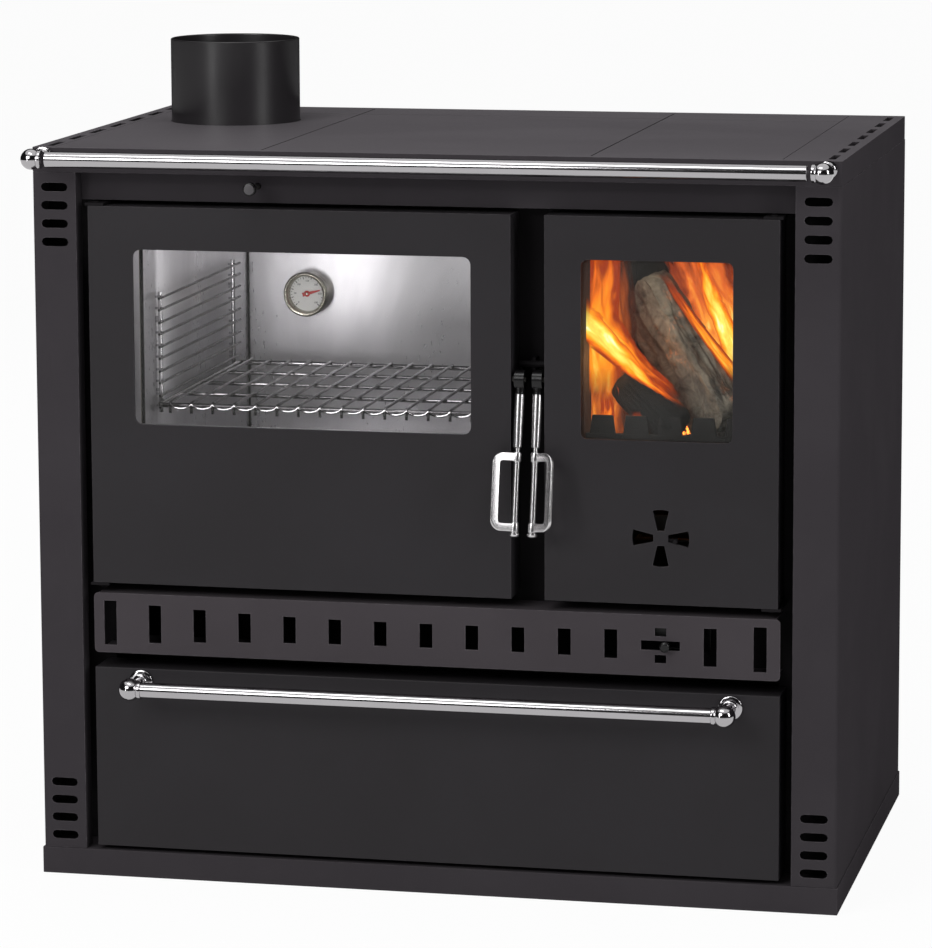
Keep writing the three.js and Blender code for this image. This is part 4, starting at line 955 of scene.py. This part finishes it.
def rough_log(name, start, end, radius, cut_angles, seed, material, scale=1.0):
    """A split log between two points: a rough round that has lost one or more flat slices."""
    start, end = Vector(start), Vector(end)
    along = end - start
    bm = bmesh.new()
    bmesh.ops.create_cone(bm, cap_ends=True, segments=28, radius1=radius, radius2=radius * 0.9,
                          depth=along.length)
    rims = [edge for edge in bm.edges if any(len(face.verts) > 4 for face in edge.link_faces)]
    bmesh.ops.bevel(bm, geom=rims, offset=radius * 0.4, segments=3, affect="EDGES", profile=0.5, material=-1)
    for angle in cut_angles:
        normal = Vector((math.cos(math.radians(angle)), math.sin(math.radians(angle)), 0))
        halves = bmesh.ops.bisect_plane(bm, geom=bm.verts[:] + bm.edges[:] + bm.faces[:], clear_outer=True,
                                        plane_co=normal * radius * LOG_SPLIT, plane_no=normal)
        rim = [item for item in halves["geom_cut"] if isinstance(item, bmesh.types.BMEdge)]
        bmesh.ops.contextual_create(bm, geom=rim)
    bmesh.ops.triangulate(bm, faces=bm.faces)
    for _ in range(7):
        long_edges = [edge for edge in bm.edges if edge.calc_length() > LOG_EDGE]
        if not long_edges:
            break
        bmesh.ops.subdivide_edges(bm, edges=long_edges, cuts=1)
        bmesh.ops.triangulate(bm, faces=bm.faces)
    shift = Vector((seed * 3.1, seed * 1.7, seed * 0.9))
    bm.normal_update()
    for vert in bm.verts:
        spot = Vector((vert.co.x * 60, vert.co.y * 60, vert.co.z * 16)) * scale + shift
        lift = noise.fractal(spot, 0.9, 2.1, 5, noise_basis="PERLIN_ORIGINAL")
        vert.co += vert.normal * lift * radius * LOG_ROUGHNESS
    turn_to = along.to_track_quat("Z", "Y").to_matrix().to_4x4()
    bmesh.ops.transform(bm, matrix=Matrix.Translation((start + end) / 2) @ turn_to, verts=bm.verts)
    return finished(name, bm, "stove", "firebrick", material, smooth=60)


def flame_sheet(name, foot, tip, width, bow, seed, material, taper=0.45):
    """A bowed sheet from a foot to a tip, which the flame shader tears into tongues."""
    foot, tip = Vector(foot) * MM, Vector(tip) * MM
    width, bow = width * MM, bow * MM
    up = tip - foot
    bm = bmesh.new()
    bm.loops.layers.uv.new("sheet")
    bmesh.ops.create_grid(bm, x_segments=10, y_segments=26, size=0.5, calc_uvs=True)
    across = up.cross(AXIS["y"]).normalized()
    for vert in bm.verts:
        u, v = vert.co.x, vert.co.y + 0.5
        sway = math.sin(v * 6.0 + seed) * 0.10 * width * v
        vert.co = (foot + up * v + across * (u * width * (1.0 - taper * v) + sway)
                   + AXIS["y"] * (bow * (u * u * 2 - v * (1 - v))))
    return finished(name, bm, "stove", "firebrick", material, smooth=180)


def log_guard(left, right, front, foot):
    """A low comb of tapered iron teeth that keeps the embers off the glass."""
    bm = bmesh.new()
    pitch, gap, high, thick = 38.6 * MM, 5 * MM, 34 * MM, 4 * MM
    y = front + thick / 2
    brick(bm, ((left + right) / 2, y, foot + 7 * MM), (right - left - 2 * MM, thick, 13 * MM))
    x = left + 4 * MM
    while x < right - 6 * MM:
        end = min(x + pitch - gap, right - 4 * MM)
        tooth = brick(bm, ((x + end) / 2, y, foot + high / 2), (end - x, thick - 0.4 * MM, high))
        bmesh.ops.scale(bm, verts=[v for v in tooth if v.co.z > foot + high / 2], vec=(0.72, 1, 1),
                        space=Matrix.Translation((-(x + end) / 2, 0, 0)))
        x = end + gap
    finished("log_guard", bm, "stove", "black_iron", IRON, bevel=1.2 * MM)


def logs(low, high):
    """Split logs that lean on the grate, between the low and high corners of its top, in metres."""
    heat = (1.0, 0.22, 0.02, 1)
    ash = glowing("ash_grey_wood", rgb(72, 65, 56), rgb(152, 144, 128), heat, 0.014, 2.0, 34.0, 0.64)
    heat = (1.0, 0.16, 0.02, 1)
    char = glowing("charred_wood", rgb(6, 5, 5), rgb(18, 15, 13), heat, 0.02, 3.0, 30.0, 0.64)
    for name, start, end, radius, cut_angles, seed, material in (
            ("leaning_log", (0.208, -0.088, 0.682), (0.316, -0.148, 0.53), 0.043, (200,), 1.0, ash),
            ("charred_log", (0.206, -0.15, 0.586), (0.268, -0.178, 0.532), 0.026, (), 3.0, char),
            ("rear_log", (0.29, -0.02, 0.63), (0.35, -0.08, 0.53), 0.032, (30,), 2.0, char),
            ("low_log", low + Vector((0.014, 0.17, 0.032)), (high.x - 0.014, low.y + 0.18, low.z + 0.032), 0.03,
             (80,), 4.0, char)):
        rough_log(name, start, end, radius, cut_angles, seed, material)


EMBERS, EMBER_SEED = 18, 11


def embers(low, high):
    """A bed of rough glowing lumps on the grate."""
    heat = (1.0, 0.26, 0.04, 1)
    material = glowing("ember_bed", rgb(26, 22, 20), rgb(92, 84, 78), heat, 0.16, 5.0, 46.0, 0.5)
    random.seed(EMBER_SEED)
    for count in range(EMBERS):
        x = low.x + 0.014 + random.random() * (high.x - low.x - 0.028)
        y = low.y + 0.02 + random.random() * 0.16
        lump = 0.006 + random.random() * 0.008
        bm = bmesh.new()
        bmesh.ops.create_icosphere(bm, subdivisions=3, radius=lump)
        for vert in bm.verts:
            vert.co *= 1 + 0.5 * noise.noise(vert.co * 160 + Vector((count, 0, 0)))
        bmesh.ops.translate(bm, verts=bm.verts, vec=(x, y, low.z + lump * 0.75))
        finished(f"ember_{count}", bm, "stove", "firebrick", material, smooth=50)


def flames():
    """Flame sheets, each from a foot to a tip, with its width and bow. Places are in mm."""
    orange = (rgb(150, 48, 4), rgb(236, 112, 14), rgb(255, 158, 30), rgb(255, 214, 90))
    yellow = (rgb(210, 84, 8), rgb(255, 164, 30), rgb(255, 228, 100), rgb(255, 252, 220))
    dull = (rgb(64, 26, 10), rgb(140, 62, 20), rgb(204, 100, 26), rgb(246, 150, 50))
    pink = (rgb(130, 46, 16), rgb(222, 100, 36), rgb(255, 156, 54), rgb(255, 226, 120))
    broad = flame_light("broad_flame", 2.0, 1.15, orange, 0.62)
    bright = flame_light("bright_flame", 1.2, 1.3, yellow, 0.8)
    glow = flame_light("dull_flame", 3.0, 1.0, dull, 0.7)
    back = flame_light("back_flame", 2.6, 1.1, pink, 0.72)
    for name, foot, tip, width, bow, seed, material, taper in (
            ("left", (180, -166, 570), (174, -156, 775), 46, 6, 0.3, broad, 0.15),
            ("left_back", (184, -120, 540), (176, -110, 775), 60, 8, 2.0, glow, 0.2),
            ("glow_left", (182, -152, 505), (178, -152, 655), 60, 6, 1.1, glow, 0.1),
            ("diagonal", (150, -183, 668), (276, -181, 556), 42, 4, 1.4, bright, 0.92),
            ("under_log", (176, -176, 650), (268, -176, 566), 52, 4, 2.2, broad, 0.85),
            ("right", (322, -92, 575), (258, -84, 780), 92, 10, 3.1, back, 0.2),
            ("right_bright", (326, -104, 600), (272, -98, 742), 30, 6, 4.4, bright, 0.5),
            ("log_edge", (334, -152, 590), (240, -126, 704), 15, 2, 5.2, broad, 0.5),
            ("notch_left", (190, -189, 512), (189, -189, 578), 20, 1, 0.8, broad, 0.3),
            ("notch_right", (229, -189, 510), (227, -189, 556), 22, 1, 2.8, broad, 0.3)):
        flame_sheet("flame_" + name, foot, tip, width, bow, seed, material, taper)


def fire():
    """What burns on the grate, behind its low guard."""
    low, high = corners("fire_grate")
    low.z = high.z
    logs(low, high)
    embers(low, high)
    log_guard(low.x, high.x, low.y + 2 * MM, high.z)
    flames()


# ---------------- dressing the frame
place_camera()
light_the_studio()
light_the_oven()
light_the_fire()
floor()
dark_screen()
pale_world()

DRESSED = (  # solids, a finish where it isn't their slot's, the width of their eased edges in mm, and its steps
    ("plinth left_side_casing right_side_casing back_panel drawer_body", None, 0.9, 2),
    ("vent_band", BAND, 0.9, 2), ("upper_fascia", None, 0.9, 2),
    # The front frame and the door liners show only through the gaps: near-black painted gap shade.
    ("front_frame oven_door_liner fire_door_liner", GAP_SHADE_AND_BLACK, 0.4, 2),
    ("oven_door_panel fire_door_panel drawer_front", None, 1.0, 3),
    ("hob_frame flue_plate middle_plate fire_plate", None, 0.5, 2),
    ("oven_left_wall oven_right_wall oven_top oven_floor oven_back", None, 0.3, 2),
    ("firebox_shell fire_grate smoke_baffle", IRON, 0.8, 2),
    ("ash_pan oven_latch_pin fire_latch_pin damper_rod drawer_runner_left drawer_runner_right", STEEL, 0.3, 2),
    # The hinge rods and the air rosette take the same near-black as the painted gap shade.
    ("oven_hinge_rod fire_hinge_rod air_rosette", GAP_SHADE_AND_BLACK, 0.3, 2),
    ("firebrick_left firebrick_right firebrick_back", None, 1.5, 3),
    ("oven_latch_lever fire_latch_lever air_slider", FINISH["black_knob"], 0.8, 3),
    ("oven_door_seal fire_door_seal", None, 2.5, 4), ("oven_door_glass fire_door_glass", None, 0.5, 2))

dressed = {}
for solids, finish, edge, steps in DRESSED:
    for solid in solids.split():
        dressed[solid] = eased(solid, finish, edge * MM, steps)
bright_collar(dressed["oven_door_liner"])
faces_up_in(dressed["hob_frame"], FINISH["hob_steel"], FINISH["casing_paint"])
# The plates' top faces take the hob steel; their edges take near-black painted shade, which shows as dark seams
# and a dark front edge.
for plate in ("flue_plate", "middle_plate", "fire_plate"):
    faces_up_in(dressed[plate], FINISH["hob_steel"], GAP_SHADE_AND_BLACK)

chromed_rail()
chromed_drawer_bar()
chromed_grip("oven", -1)
chromed_grip("fire", 1)
flue_spigot()
damper_handle()
thermometer()
wire_ladder(-1)
wire_ladder(1)
wire_rack()
oven_corner_shades()
fire()
